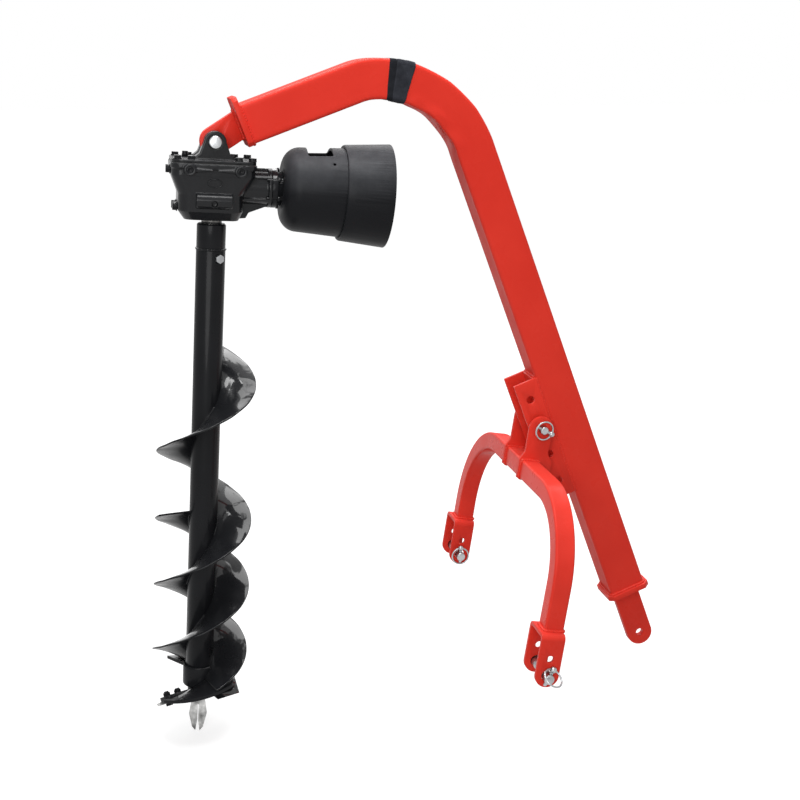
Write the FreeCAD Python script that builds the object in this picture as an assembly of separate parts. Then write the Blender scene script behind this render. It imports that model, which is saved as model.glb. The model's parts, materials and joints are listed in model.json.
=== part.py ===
"""Earth auger drive: a tractor three-point post-hole digger.

A bent square boom hangs on the tractor's top link at its foot.  A yoke pinned under the boom
reaches down to the two lower links.  A right-angle gearbox hangs from the boom's tip and turns a
double-flighted auger.  Everything is in millimetres.  The origin is the top-link bore, +X points
from the auger side to the tractor side, +Y goes across the machine and +Z is up.
"""
import FreeCAD, Part
import math
import os

V = FreeCAD.Vector
X, Y, Z = V(1, 0, 0), V(0, 1, 0), V(0, 0, 1)

# ---- driving dimensions -------------------------------------------------------------------------
TUBE = 88.9                 # boom: square tube, 3 1/2 in
TUBE_WALL = 4.8
TUBE_CORNER = 8.0
BOOM_LEAN = 20.5            # lean of the long straight from the vertical, degrees
LEVEL_Z = 1371.0            # height of the level stretch above the top-link bore
BEND_R = 234.6              # centre-line radius of the big bend
TIP_DROP = 20.0             # how far the tip section slopes down, degrees
TIP_BEND_R = 135.0
TIP_CORNER_X = -703.8       # where the level line meets the tip section's line
TIP_LENGTH = 279.0          # from that corner to the end of the tube
END_PLATE = 12.7

WRAP_START = 4.6            # the tape band on the big bend, degrees round the bend
WRAP_TURN = 13.6

FOOT_PIN = 19.05            # top-link pin, category 1
FOOT_BORE = FOOT_PIN + 0.12
FOOT_START = 144.2          # tube starts this far up from the bore
FOOT_TONGUE_W = 64.0
FOOT_TONGUE_T = 19.0

TIP_PIN = 25.4
TIP_TONGUE_W = 62.0
TIP_TONGUE_T = 25.0
TIP_TONGUE_SLOPE = 32.0
GEAR_PIN_X = -1034.2        # tip pin, where the gearbox hangs
GEAR_PIN_Z = 1239.3

BRACKET_TOP = 748.0         # along the boom from the bore
BRACKET_LENGTH = 304.8
BRACKET_DEPTH = 56.0
BRACKET_T = 8.0
BRACKET_CORNER = 14.0
BRACKET_FIRST = 46.0        # from the bracket's top to its first hole
BRACKET_PITCH = 72.0        # four holes, the yoke hangs in the second from the top
BRACKET_HOLE_OUT = 29.0     # from the tube's underside
YOKE_PIN = 19.05
RUNNING = 0.08              # radial play of a pin in the piece that swings on it
SLIDING = 0.05              # radial play of a pin in the piece that carries it

YOKE_LEAN = 9.0             # the yoke's lean as it stands, degrees
YOKE_TUBE = 44.45           # 1 3/4 in square tube
YOKE_WALL = 3.2
YOKE_HALF = 385.0           # middle of each leg from the middle plane
YOKE_BEND = {-1: 173.0, 1: 228.0}   # centre-line radius: the far leg is bent more gently
YOKE_OFF = -16.0            # the arch hangs a little behind the pivot
CROWN_Z = -101.0            # middle of the crown below the pivot
EAR_T = 10.0
EAR_IN = 55.0               # inner face of each ear from the middle plane
EAR_R = 29.5
EAR_SHIFT = -3.0

CLEVIS_GAP = 70.0
CLEVIS_T = 9.5
CLEVIS_W = 54.0
CLEVIS_OFF = -22.0
CLEVIS_BORE = 25.8
CLEVIS_TOP = -368.0
CLEVIS_PIN_Z = -462.0
CLEVIS_SPARE_Z = -424.0
CLEVIS_SPARE = 16.3
LOWER_PIN = 22.2            # lower-link pin, category 1

LINCH_R = 4.0               # linch pins: shank, sprung ring and its wire
LINCH_RING = 22.0
LINCH_WIRE = 2.0
TOP_LINCH_Y = -(EAR_IN + EAR_T + 8.0)
LOW_LINCH_Y = -(CLEVIS_GAP / 2 + CLEVIS_T + 9.0)
TOP_TURN, TOP_OPEN = 110.0, 12.0        # how each is turned in its pin, and how far its ring stands open
NEAR_TURN, NEAR_OPEN = 20.0, 58.0
FAR_TURN, FAR_OPEN = -7.0, 0.0

HANG = 3.474                # the gearbox hangs this far off plumb, degrees
COVER_TOP = -37.0
COVER_T = 7.0
GASKET_T = 1.5
FLANGE_TOP = COVER_TOP - COVER_T - GASKET_T
LID = (-93.0, 89.0, 72.0, 23.0)         # the lid's and gasket's outline: x from, to, half width, corner
COVER_BOLTS = [(x, side * 58.0) for side in (-1, 1) for x in (-80.0, -51.0, 51.0, 80.0)]
BOLT_BOSS = 9.0
SIDE_BOSSES = (-54.5, 54.5)
PLUGS_BACK = ((-22.0, -61.0), (24.0, -141.5), (-20.0, -141.5))
EAR_SPREAD = 96.0           # across the two hanging ears
EAR_GAP = 28.0
NECK_END = 128.0
CAP_T = 12.0
CAP_SCREW_ANGLES = (30, 90, 150, 210, 270, 330)
CAP_SCREW_R = 40.0
INPUT_Z = -96.0             # input shaft below the tip pin
BODY_BOTTOM = -168.5
STUB_START = 166.0          # the bare stub of the input shaft, inside the bell
INPUT_END = 308.0
INPUT_SHAFT = 34.93         # 1 3/8 in power take-off shaft
OUTPUT_SHAFT = 44.45

MODULE = 3.5
PINION_TEETH = 11
CROWN_TEETH = 33
GEAR_FACE = 17.0
LID_BEARING = (31.0, 15.0, 13.0, (-52.5,))      # outer and inner radius, width, middles
BASE_BEARING = (37.5, 22.5, 20.0, (BODY_BOTTOM + 15,))
INPUT_BEARINGS = (31.0, 17.5, 17.0, (80.5, 114.5))
CROWN_SEAT = -79.5          # the crown wheel rests on the shaft's shoulder here

BELL_BACK = 150.0
BELL_R = 96.0
BELL_WALL = 5.5
SLEEVE_WALL = 5.0
BELL_DROOP = 1.9            # the plastic bell sags on its seat, degrees
SLEEVE_START = 284.0
SLEEVE_LENGTH = 104.0
SLEEVE_GUIDE = 99.3         # inner radius of the sleeve's guide lip

HUB_TOP = -178.0
HUB_LENGTH = 56.0
SPIGOT_END = -300.0
SHEAR_Z = -253.0            # the shear bolt below the tip pin, and its bearing
SHEAR_TURN = 28.0
AUGER_TUBE = 65.1           # 2 9/16 in
AUGER_WALL = 3.2
AUGER_BOTTOM = -1262.0
FLIGHT_R = 111.0
FLIGHT_T = 4.6
PITCH = 323.0
FLIGHT_TOP_Z = -537.0       # height at which the long flight first passes the tractor side
FLIGHT_START = 80.0         # bearing of its upper end, degrees round from the tractor side
SHORT_START = 200.0         # bearing of the short flight's upper end
FLIGHT_END = -72.0          # bearing at which the long flight laps over its cutter flight
LOW_PITCH = 168.0           # the cutter flights are laid flatter than the flights above them
LOW_START_Z = -1244.6
LOW_T = 8.0
CUT_ANGLE = -149.0          # bearing of the near cutting edge, degrees
PILOT_TIP = -1397.0
PILOT_TURN = 12.0
PILOT_SHANK = 15.0
COLLAR_R = 38.0
COLLAR_LENGTH = 50.0
CUT_Z = -1296.0             # height of the cutting plates
CUT_R = 112.0               # the teeth reach just past the flights
ATTACK = 32.0               # pitch of the teeth, degrees
HOLDER_T = 10.0
TOOTH_T = 7.0
TOOTH_BOLTS = (52.0, 82.0)


# ---- small tools --------------------------------------------------------------------------------
def rod(radius, start, axis, length):
    """A cylinder from a point along an axis."""
    return Part.makeCylinder(radius, length, start, axis)


def across(radius, x, z, half, offset=0.0):
    """A cylinder across the machine, centred on offset."""
    return rod(radius, V(x, offset - half, z), Y, 2 * half)


def ring(outer, inner, start, axis, length):
    return rod(outer, start, axis, length).cut(rod(inner, start, axis, length))


def block(x0, x1, y0, y1, z0, z1):
    return Part.makeBox(x1 - x0, y1 - y0, z1 - z0, V(x0, y0, z0))


def plate(outline, y0, y1):
    """A plate of the given (x, z) outline, from y0 to y1."""
    points = [V(x, y0, z) for x, z in outline]
    face = Part.Face(Part.makePolygon(points + points[:1]))
    return face.extrude(V(0, y1 - y0, 0))


def upright(solid, direction=Y):
    """The straight edges of a solid that run along a direction."""
    found = []
    for edge in solid.Edges:
        if edge.Curve.TypeId == "Part::GeomLine":
            if abs(edge.Curve.Direction.dot(direction)) > 0.999:
                found.append(edge)
    return found


def rounded_square(size_x, size_y, corner, centre, direction_x, direction_y):
    """A closed wire: a rectangle with round corners."""
    hx, hy = size_x / 2.0, size_y / 2.0
    edges = []
    turn = math.sqrt(0.5)
    signs = ((1, 1), (-1, 1), (-1, -1), (1, -1))

    def at(px, py):
        return centre + direction_x * px + direction_y * py

    for index, (sx, sy) in enumerate(signs):
        cx, cy = sx * (hx - corner), sy * (hy - corner)
        on_x = at(sx * hx, cy)
        on_y = at(cx, sy * hy)
        middle = at(cx + sx * corner * turn, cy + sy * corner * turn)
        first, last = (on_x, on_y) if index % 2 == 0 else (on_y, on_x)
        edges.append(Part.Arc(first, middle, last).toShape())
        nx, ny = signs[(index + 1) % 4]
        if index % 2 == 0:
            edges.append(Part.makeLine(last, at(nx * (hx - corner), ny * hy)))
        else:
            edges.append(Part.makeLine(last, at(nx * hx, ny * (hy - corner))))
    return Part.Wire(edges)


def swept_tube(path, start, along, size, wall, corner):
    """A square tube swept along a flat path; its first section stands at start."""
    side = Y if abs(along.dot(Y)) < 0.5 else X
    other = along.cross(side)
    outer = rounded_square(size, size, corner, start, side, other)
    inner = rounded_square(size - 2 * wall, size - 2 * wall, max(corner - wall, 1.0), start, side, other)
    solid = path.makePipeShell([outer], True, True)
    hollow = path.makePipeShell([inner], True, True)
    return Part.Solid(solid).cut(Part.Solid(hollow))


def on_boom(solid):
    """From the boom's own frame (z runs up the straight) to the machine's."""
    solid.rotate(V(0, 0, 0), Y, -BOOM_LEAN)
    return solid


def on_tip(solid):
    """From the tip section's frame (x runs up the slope from the tube's end) to the machine's."""
    drop = math.radians(TIP_DROP)
    solid.rotate(V(0, 0, 0), Y, -TIP_DROP)
    solid.translate(V(TIP_CORNER_X - TIP_LENGTH * math.cos(drop), 0, LEVEL_Z - TIP_LENGTH * math.sin(drop)))
    return solid


def pivot_point():
    lean = math.radians(BOOM_LEAN)
    out = -(TUBE / 2 + BRACKET_HOLE_OUT)
    up = BRACKET_TOP - BRACKET_FIRST - BRACKET_PITCH
    return V(out * math.cos(lean) - up * math.sin(lean), 0, out * math.sin(lean) + up * math.cos(lean))


def on_yoke(solid):
    """From the yoke's frame (origin at its pivot, legs down) to the machine's."""
    solid.rotate(V(0, 0, 0), Y, YOKE_LEAN)
    solid.translate(pivot_point())
    return solid


def on_gearbox(solid):
    """From the gearbox's frame (origin at the tip pin, auger down) to the machine's."""
    solid.rotate(V(0, 0, 0), Y, HANG)
    solid.translate(V(GEAR_PIN_X, 0, GEAR_PIN_Z))
    return solid


def around_auger(solid, angle):
    solid.rotate(V(0, 0, 0), Z, angle)
    return solid


def hexagon(across_flats, start, axis, height, turn=0.0):
    """A hexagonal prism from a point along an axis, with its far rim chamfered."""
    radius = across_flats / math.sqrt(3.0)
    side = axis.cross(Z if abs(axis.dot(Z)) < 0.9 else X).normalize()
    other = axis.cross(side)
    points = []
    for step in range(6):
        angle = math.radians(60 * step + turn)
        points.append(start + side * radius * math.cos(angle) + other * radius * math.sin(angle))
    prism = Part.Face(Part.makePolygon(points + points[:1])).extrude(axis * height)
    dome = Part.makeCone(radius * 1.45, radius * 0.93, height, start, axis)
    return prism.common(dome)


def hex_bolt(size, start, axis, shank, turn=0.0):
    """Head outside the start point, shank going back against the axis."""
    washer = ring(size * 0.98, size * 0.53, start, axis, size * 0.2)
    head = hexagon(size * 1.6, start + axis * size * 0.2, axis, size * 0.64, turn)
    return washer.fuse(head).fuse(rod(size / 2 - 0.12, start - axis * shank, axis, shank + size * 0.3))


def group(solids):
    return Part.makeCompound(solids)


# ---- the boom -----------------------------------------------------------------------------------
def boom_path():
    """Centre line of the tube from the foot, round both bends, to the tip."""
    lean, drop = math.radians(BOOM_LEAN), math.radians(TIP_DROP)
    up = V(-math.sin(lean), 0, math.cos(lean))
    down = V(-math.cos(drop), 0, -math.sin(drop))
    back = V(-1, 0, 0)
    corner = up * (LEVEL_Z / math.cos(lean))
    turn = math.radians(90.0 - BOOM_LEAN)
    reach = BEND_R * math.tan(turn / 2)
    tip_corner = V(TIP_CORNER_X, 0, LEVEL_Z)
    tip_reach = TIP_BEND_R * math.tan(drop / 2)

    def arc(vertex, into, out, tangent, radius):
        first, last = vertex - into * tangent, vertex + out * tangent
        inward = (out - into).normalize()
        half = math.atan(tangent / radius)
        middle = vertex + inward * (radius / math.cos(half) - radius)
        return first, last, Part.Arc(first, middle, last).toShape()

    start = up * FOOT_START
    bend_in, bend_out, big = arc(corner, up, back, reach, BEND_R)
    tip_in, tip_out, small = arc(tip_corner, back, down, tip_reach, TIP_BEND_R)
    end = tip_corner + down * TIP_LENGTH
    path = Part.Wire([Part.makeLine(start, bend_in), big, Part.makeLine(bend_out, tip_in), small,
                      Part.makeLine(tip_out, end)])
    return path, start, up


def boom_tube():
    path, start, up = boom_path()
    return swept_tube(path, start, up, TUBE, TUBE_WALL, TUBE_CORNER)


def boom_wrap():
    """A band of tape round the tube where the big bend begins, its last turn lying askew."""
    lean = math.radians(BOOM_LEAN)
    bend_x = -LEVEL_Z * math.tan(lean) - BEND_R * math.tan(math.radians(90.0 - BOOM_LEAN) / 2)
    centre = V(bend_x, 0, LEVEL_Z - BEND_R)
    band = Part.Face(rounded_square(TUBE + 5.0, TUBE + 5.0, TUBE_CORNER + 2.5, V(bend_x, 0, LEVEL_Z), Y, Z))
    band = band.cut(Part.Face(rounded_square(TUBE + 0.1, TUBE + 0.1, TUBE_CORNER + 0.05,
                                             V(bend_x, 0, LEVEL_Z), Y, Z)))
    band.rotate(centre, Y, WRAP_START)
    return band.revolve(centre, Y, WRAP_TURN)


def boom_tip_plate():
    plate_w = 110.0
    solid = block(-END_PLATE, 0, -plate_w / 2, plate_w / 2, -TUBE / 2 - 2.0, -TUBE / 2 - 2.0 + plate_w)
    solid = solid.makeChamfer(9.0, upright(solid, X))
    return on_tip(solid)


def boom_tip_tongue():
    """The plate that goes down into the gearbox's ears, ending round about the tip pin."""
    half = TIP_TONGUE_W / 2
    bar = block(0, 130, -TIP_TONGUE_T / 2, TIP_TONGUE_T / 2, -half, half)
    bar = bar.fuse(across(half, 0, 0, TIP_TONGUE_T / 2)).removeSplitter()
    bar = bar.cut(across(TIP_PIN / 2 + RUNNING, 0, 0, TIP_TONGUE_T))
    bar.rotate(V(0, 0, 0), Y, -TIP_TONGUE_SLOPE)
    bar.translate(V(GEAR_PIN_X, 0, GEAR_PIN_Z))
    beyond = on_tip(block(-END_PLATE, 260, -80, 80, -160, 160))
    return bar.cut(beyond)


def boom_foot_plate():
    size = 108.0
    solid = block(-size / 2, size / 2, -size / 2, size / 2, FOOT_START - END_PLATE, FOOT_START)
    solid = solid.makeChamfer(13.0, upright(solid, Z))
    return on_boom(solid)


def boom_foot_tongue():
    half = FOOT_TONGUE_W / 2
    bar = block(-half, half, -FOOT_TONGUE_T / 2, FOOT_TONGUE_T / 2, 0, FOOT_START - END_PLATE)
    bar = bar.fuse(across(half, 0, 0, FOOT_TONGUE_T / 2)).removeSplitter()
    return on_boom(bar.cut(across(FOOT_BORE / 2, 0, 0, FOOT_TONGUE_T)))


def yoke_bracket():
    """A channel welded up under the boom: a web and two flanges with four holes for the yoke's pin."""
    face = -TUBE / 2
    inner, outer = face - BRACKET_T, face - BRACKET_DEPTH
    bottom = BRACKET_TOP - BRACKET_LENGTH
    solids = [on_boom(block(inner, face, -TUBE / 2, TUBE / 2, bottom, BRACKET_TOP))]
    outline = ((inner, bottom), (inner, BRACKET_TOP), (outer, BRACKET_TOP), (outer, bottom + BRACKET_CORNER),
               (outer + BRACKET_CORNER, bottom))
    for side in (-1, 1):
        y0, y1 = sorted((side * TUBE / 2, side * (TUBE / 2 - BRACKET_T)))
        flange = plate(outline, y0, y1)
        for step in range(4):
            height = BRACKET_TOP - BRACKET_FIRST - BRACKET_PITCH * step
            flange = flange.cut(across(YOKE_PIN / 2 + RUNNING, face - BRACKET_HOLE_OUT, height, TUBE))
        solids.append(on_boom(flange))
    return group(solids)


# ---- the yoke -----------------------------------------------------------------------------------
def yoke_cross_tube():
    start = V(YOKE_OFF, -EAR_IN, CROWN_Z)
    bore = YOKE_TUBE - 2 * YOKE_WALL
    outer = Part.Face(rounded_square(YOKE_TUBE, YOKE_TUBE, 5.0, start, X, Z)).extrude(Y * 2 * EAR_IN)
    inner = Part.Face(rounded_square(bore, bore, 2.0, start, X, Z)).extrude(Y * 2 * EAR_IN)
    return on_yoke(outer.cut(inner))


def yoke_leg(side):
    """One bent leg, from its ear out and down to its clevis."""
    start = V(YOKE_OFF, side * (EAR_IN + EAR_T), CROWN_Z)
    radius = YOKE_BEND[side]
    turn_y = side * (YOKE_HALF - radius)
    bend_in = V(YOKE_OFF, turn_y, CROWN_Z)
    bend_out = V(YOKE_OFF, side * YOKE_HALF, CROWN_Z - radius)
    turn = radius * math.sqrt(0.5)
    middle = V(YOKE_OFF, turn_y + side * turn, CROWN_Z - radius + turn)
    end = V(YOKE_OFF, side * YOKE_HALF, CLEVIS_TOP)
    path = Part.Wire([Part.makeLine(start, bend_in), Part.Arc(bend_in, middle, bend_out).toShape(),
                      Part.makeLine(bend_out, end)])
    return on_yoke(swept_tube(path, start, V(0, side, 0), YOKE_TUBE, YOKE_WALL, 5.0))


def yoke_ear(side):
    """A plate round about the pin, waisted, and flared out again where the tubes butt on it."""
    back = YOKE_OFF - YOKE_TUBE / 2
    front = YOKE_OFF + YOKE_TUBE / 2
    top = CROWN_Z + YOKE_TUBE / 2
    bottom = CROWN_Z - YOKE_TUBE / 2
    left, right, waist = EAR_SHIFT - EAR_R, EAR_SHIFT + EAR_R, top + 20.0
    outline = ((left, 0), (left, waist), (back - 5, top + 1), (back - 5, bottom), (front + 31, bottom),
               (front + 31, top + 1), (right - 3, waist), (right, 0))
    y0, y1 = sorted((side * EAR_IN, side * (EAR_IN + EAR_T)))
    solid = plate(outline, y0, y1).fuse(rod(EAR_R, V(EAR_SHIFT, y0, 0), Y, EAR_T)).removeSplitter()
    solid = solid.makeFillet(10.0, [e for e in upright(solid) if abs(e.Vertexes[0].Z - waist) < 0.1])
    solid = solid.makeFillet(6.0, [e for e in upright(solid) if abs(e.Vertexes[0].Z - top - 1) < 0.1])
    return on_yoke(solid.cut(across(YOKE_PIN / 2 + SLIDING, 0, 0, 90)))


def clevis(side):
    """A bent strap: a bridge under the leg and two round-ended plates for the lower-link pin."""
    half = CLEVIS_GAP / 2 + CLEVIS_T
    mid = side * YOKE_HALF
    x0, x1 = CLEVIS_OFF - CLEVIS_W / 2, CLEVIS_OFF + CLEVIS_W / 2
    strap = block(x0, x1, mid - half, mid + half, CLEVIS_PIN_Z, CLEVIS_TOP)
    strap = strap.makeFillet(13.0, [e for e in upright(strap, X) if e.Vertexes[0].Z > CLEVIS_TOP - 1])
    slot = block(x0 - 1, x1 + 1, mid - CLEVIS_GAP / 2, mid + CLEVIS_GAP / 2, CLEVIS_PIN_Z - 1,
                 CLEVIS_TOP - CLEVIS_T)
    slot = slot.makeFillet(5.0, [e for e in upright(slot, X) if e.Vertexes[0].Z > CLEVIS_TOP - CLEVIS_T - 1])
    strap = strap.cut(slot)
    centre_x = (x0 + x1) / 2
    for inner in (mid - half, mid + CLEVIS_GAP / 2):
        strap = strap.fuse(rod(CLEVIS_W / 2, V(centre_x, inner, CLEVIS_PIN_Z), Y, CLEVIS_T))
    strap = strap.removeSplitter()
    strap = strap.cut(across(CLEVIS_BORE / 2, centre_x, CLEVIS_PIN_Z, half + 5, mid))
    strap = strap.cut(across(CLEVIS_SPARE / 2, centre_x, CLEVIS_SPARE_Z, half + 5, mid))
    return on_yoke(strap)


# ---- pins and their linch pins ------------------------------------------------------------------
def headed_pin(radius, y_tail, y_head, head_r, head_t, linch_y, turn):
    """A pin across the machine: head at +Y, chamfered tail at -Y, cross hole for its linch pin."""
    pin = rod(radius, V(0, y_tail, 0), Y, y_head - y_tail)
    pin = pin.makeChamfer(2.0, [e for e in pin.Edges if abs(e.BoundBox.YMax - y_tail) < 0.01])
    head = rod(head_r, V(0, y_head, 0), Y, head_t)
    head = head.makeChamfer(1.5, [e for e in head.Edges if e.BoundBox.YMin > y_head + head_t - 0.1])
    hole = rod(LINCH_R + 0.25, V(0, linch_y, -40), Z, 80)
    hole.rotate(V(0, 0, 0), Y, turn)
    return pin.fuse(head).removeSplitter().cut(hole)


def linch_pin(linch_y, turn):
    """The linch pin's body: a tapered shank and a square-shouldered head pierced for the ring."""
    shank = rod(LINCH_R, V(0, linch_y, -18.5), Z, 36.0)
    shank = shank.makeChamfer(1.6, [e for e in shank.Edges if e.BoundBox.ZMax < -18.4])
    head = Part.makeSphere(7.5, V(0, linch_y, LINCH_RING))
    head = head.common(block(-6, 6, linch_y - 7, linch_y + 7, LINCH_RING - 7, LINCH_RING + 6.5))
    solid = shank.fuse(head)
    hole = rod(LINCH_WIRE + 1.1, V(-20, linch_y, LINCH_RING), X, 40)
    solid = solid.cut(hole)
    solid.rotate(V(0, 0, 0), Y, turn)
    return solid


def linch_ring(linch_y, turn, opened):
    """The sprung ring, lying round the pin's end or opened away from it."""
    solid = Part.makeTorus(LINCH_RING, LINCH_WIRE, V(0, linch_y, 0), Y)
    solid.rotate(V(0, linch_y, LINCH_RING), X, -opened)
    solid.rotate(V(0, 0, 0), Y, turn)
    return solid


def placed_low(solid, side):
    """Into a clevis: the pin rests on the bottom of its larger holes."""
    rest = (CLEVIS_BORE - LOWER_PIN) / 2 - 0.03
    solid.translate(V(CLEVIS_OFF, side * YOKE_HALF, CLEVIS_PIN_Z - rest))
    return on_yoke(solid)


def yoke_pin():
    reach = EAR_IN + EAR_T
    return on_yoke(headed_pin(YOKE_PIN / 2, -reach - 17.0, reach + 0.5, 15.0, 8.0, TOP_LINCH_Y, TOP_TURN))


def lower_pin(side, turn):
    reach = CLEVIS_GAP / 2 + CLEVIS_T
    solid = headed_pin(LOWER_PIN / 2, -reach - 19.0, reach + 0.5, 16.5, 9.0, LOW_LINCH_Y, turn)
    return placed_low(solid, side)


# ---- the gearbox --------------------------------------------------------------------------------
def cap_screw_places():
    """The cap screws' (x, y) places in the input shaft's frame, where x points down."""
    places = []
    for angle in CAP_SCREW_ANGLES:
        turn = math.radians(angle)
        places.append((-CAP_SCREW_R * math.sin(turn), CAP_SCREW_R * math.cos(turn)))
    return places


def level_section(x0, x1, half_y, corner, z):
    return rounded_square(x1 - x0, 2 * half_y, corner, V((x0 + x1) / 2, 0, z), X, Y)


def housing_form(skin):
    """The casting's outside, or its inside when skin is the wall's thickness.

    The wall round the neck, where the input shaft's load comes in, is the thicker one.
    """
    wires = []
    stations = ((-93, 87, 70, 22, FLANGE_TOP), (-93, 87, 70, 22, -72), (-77, 64, 64, 26, -112),
                (-77, 64, 60, 26, -148), (-62, 56, 42, 20, BODY_BOTTOM))
    for x0, x1, half_y, corner, z in stations:
        level = z
        if skin and z == BODY_BOTTOM:
            level = -141.0
        elif skin and z == -148:
            level = -140.0
        lean = skin * 0.45
        wires.append(level_section(x0 + skin - lean, x1 - skin - lean, half_y - skin,
                                   corner - skin * 0.6, level))
    return Part.makeLoft(wires, True, True)


def gearbox_housing():
    """The casting: flanged top, tapered body, ribbed neck, side bosses and a round lug."""
    body = housing_form(0)
    lip = Part.Face(level_section(-95, 91, 74, 24, FLANGE_TOP)).extrude(V(0, 0, -11))
    neck = rod(37.0, V(60, 0, INPUT_Z), X, NECK_END - 60 - 6)
    collar = rod(43.0, V(NECK_END - 8, 0, INPUT_Z), X, 8)
    shape = body.multiFuse([lip, neck, collar])
    for bearing in (90, 38, -38):
        rib = block(60, NECK_END, -4, 4, 30, 42.5)
        rib.translate(V(0, 0, INPUT_Z))
        rib.rotate(V(0, 0, INPUT_Z), X, bearing - 90)
        mirror = rib.mirror(V(0, 0, INPUT_Z), Y)
        shape = shape.fuse(rib).fuse(mirror)
    gusset = plate(((58, INPUT_Z), (NECK_END - 2, INPUT_Z - 38), (80, -152), (74, -164), (56, -166)), -7, 7)
    shape = shape.fuse(gusset)
    for side in (-1, 1):
        face = side * 74.0
        for centre in SIDE_BOSSES:
            start = V(centre, min(face, face - side * 20), FLANGE_TOP - 13.0)
            shape = shape.fuse(rod(12.8, start, Y, 20).translated(V(0, side * 6, 0)))
            inner = math.copysign(5.0, centre)
            outer = math.copysign(46.0, centre)
            rib = plate(((outer, FLANGE_TOP - 9), (inner, FLANGE_TOP - 12), (inner, FLANGE_TOP - 14),
                         (outer, FLANGE_TOP - 18)), *sorted((side * 60.0, side * 77.5)))
            shape = shape.fuse(rib)
        lug = rod(17.0, V(-39, side * 60, -124), X, 78)
        shape = shape.fuse(lug)
    shape = shape.cut(housing_form(9.0).common(block(-120, 120, -90, 90, -141, FLANGE_TOP)))
    shape = shape.cut(rod(31.0, V(72, 0, INPUT_Z), X, 100))
    shape = shape.cut(rod(26.0, V(40, 0, INPUT_Z), X, 60))
    shape = shape.cut(rod(37.5, V(0, 0, BODY_BOTTOM + 5), Z, 60))
    shape = shape.cut(rod(31.0, V(0, 0, BODY_BOTTOM - 1), Z, 20))
    for x, y in COVER_BOLTS:
        shape = shape.fuse(rod(BOLT_BOSS, V(x, y, FLANGE_TOP - 11), Z, 11))
    for x, y in COVER_BOLTS:
        shape = shape.cut(rod(4.6, V(x, y, FLANGE_TOP - 14), Z, 20))
    for side in (-1, 1):
        for centre in SIDE_BOSSES:
            shape = shape.cut(rod(7.0, V(centre, min(side * 70, side * 90), FLANGE_TOP - 13.0), Y, 20))
        shape = shape.cut(rod(6.5, V(0, min(side * 66, side * 90), -129.5), Y, 24))
    for y, z in PLUGS_BACK:
        shape = shape.cut(rod(7.1, V(-110, y, z), X, 45))
        shape = shape.cut(rod(11.4, V(-120, y, z), X, 120 + plug_face(z)))
    for x, y in cap_screw_places():
        shape = shape.cut(rod(2.6, V(NECK_END - 14, y, INPUT_Z - x), X, 20))
    return on_gearbox(shape.removeSplitter())


def plug_face(z):
    """The casting's back face where a plug at this height seats."""
    return -93.0 if z > -80 else -77.0


def back_plugs():
    """Filler, level and drain plugs on the back of the casting."""
    solids = []
    for y, z in PLUGS_BACK:
        face = plug_face(z)
        head = hexagon(17.0, V(face - 2.5, y, z), V(-1, 0, 0), 8.0)
        collar = rod(11.0, V(face - 2.5, y, z), X, 2.5)
        solids.append(head.fuse(collar).fuse(rod(7.0, V(face - 0.5, y, z), X, 12.0)))
    return on_gearbox(group(solids))


def side_plugs():
    """Hexagon-socket plugs sunk in the four bosses on the sides."""
    solids = []
    for side in (-1, 1):
        for centre in SIDE_BOSSES:
            axis = V(0, side, 0)
            start = V(centre, side * 70.5, FLANGE_TOP - 13.0)
            plug = rod(6.95, start, axis, 7.5)
            solids.append(plug.cut(hexagon(7.0, start + axis * 2.5, axis, 6.0)))
    return on_gearbox(group(solids))


def cover_gasket():
    sheet = Part.Face(level_section(*LID, FLANGE_TOP)).extrude(V(0, 0, GASKET_T))
    sheet = sheet.cut(Part.Face(level_section(-83, 73, 60, 16, FLANGE_TOP - 1)).extrude(V(0, 0, 4)))
    for x, y in COVER_BOLTS:
        sheet = sheet.cut(rod(5.6, V(x, y, FLANGE_TOP - 1), Z, 5))
    for x, y in COVER_BOLTS:
        sheet = sheet.fuse(ring(BOLT_BOSS, 5.6, V(x, y, FLANGE_TOP), Z, GASKET_T))
    outline = Part.Face(level_section(*LID, FLANGE_TOP)).extrude(V(0, 0, GASKET_T))
    return on_gearbox(sheet.common(outline).removeSplitter())


def gearbox_cover():
    """The cast lid with the two hanging ears on top and the crown shaft's bearing seat below."""
    under = COVER_TOP - COVER_T
    lid = Part.Face(level_section(*LID, under)).extrude(V(0, 0, COVER_T))
    register = Part.Face(level_section(-82, 72, 59, 17, under - 3)).extrude(V(0, 0, 3))
    for x, y in COVER_BOLTS:
        register = register.cut(rod(BOLT_BOSS + 0.4, V(x, y, under - 4), Z, 5))
    lid = lid.fuse(register)
    lid = lid.fuse(rod(38.0, V(0, 0, -59.0), Z, 59.0 + under))
    for side in (-1, 1):
        y0, y1 = sorted((side * EAR_GAP / 2, side * EAR_SPREAD / 2))
        ear = plate(((-23, 4), (-38, COVER_TOP - 1), (38, COVER_TOP - 1), (23, 4)), y0, y1)
        ear = ear.fuse(rod(24.0, V(0, y0, 0), Y, y1 - y0))
        foot = plate(((-33, -24), (-50, COVER_TOP - 1), (50, COVER_TOP - 1), (33, -24)), y0, y1)
        lid = lid.fuse(ear).fuse(foot)
    lid = lid.cut(across(TIP_PIN / 2 + SLIDING, 0, 0, 60))
    lid = lid.cut(rod(31.0, V(0, 0, -60.0), Z, 14.0))
    for x, y in COVER_BOLTS:
        lid = lid.cut(rod(5.3, V(x, y, under - 5), Z, 20))
    lid = lid.cut(rod(6.1, V(-60, 24, under - 5), Z, 20))
    return on_gearbox(lid.removeSplitter())


def cover_bolts():
    solids = []
    for x, y in COVER_BOLTS:
        solids.append(hex_bolt(9.2, V(x, y, COVER_TOP), Z, 19.0, 30 * (x > 0)))
    return on_gearbox(group(solids))


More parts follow.
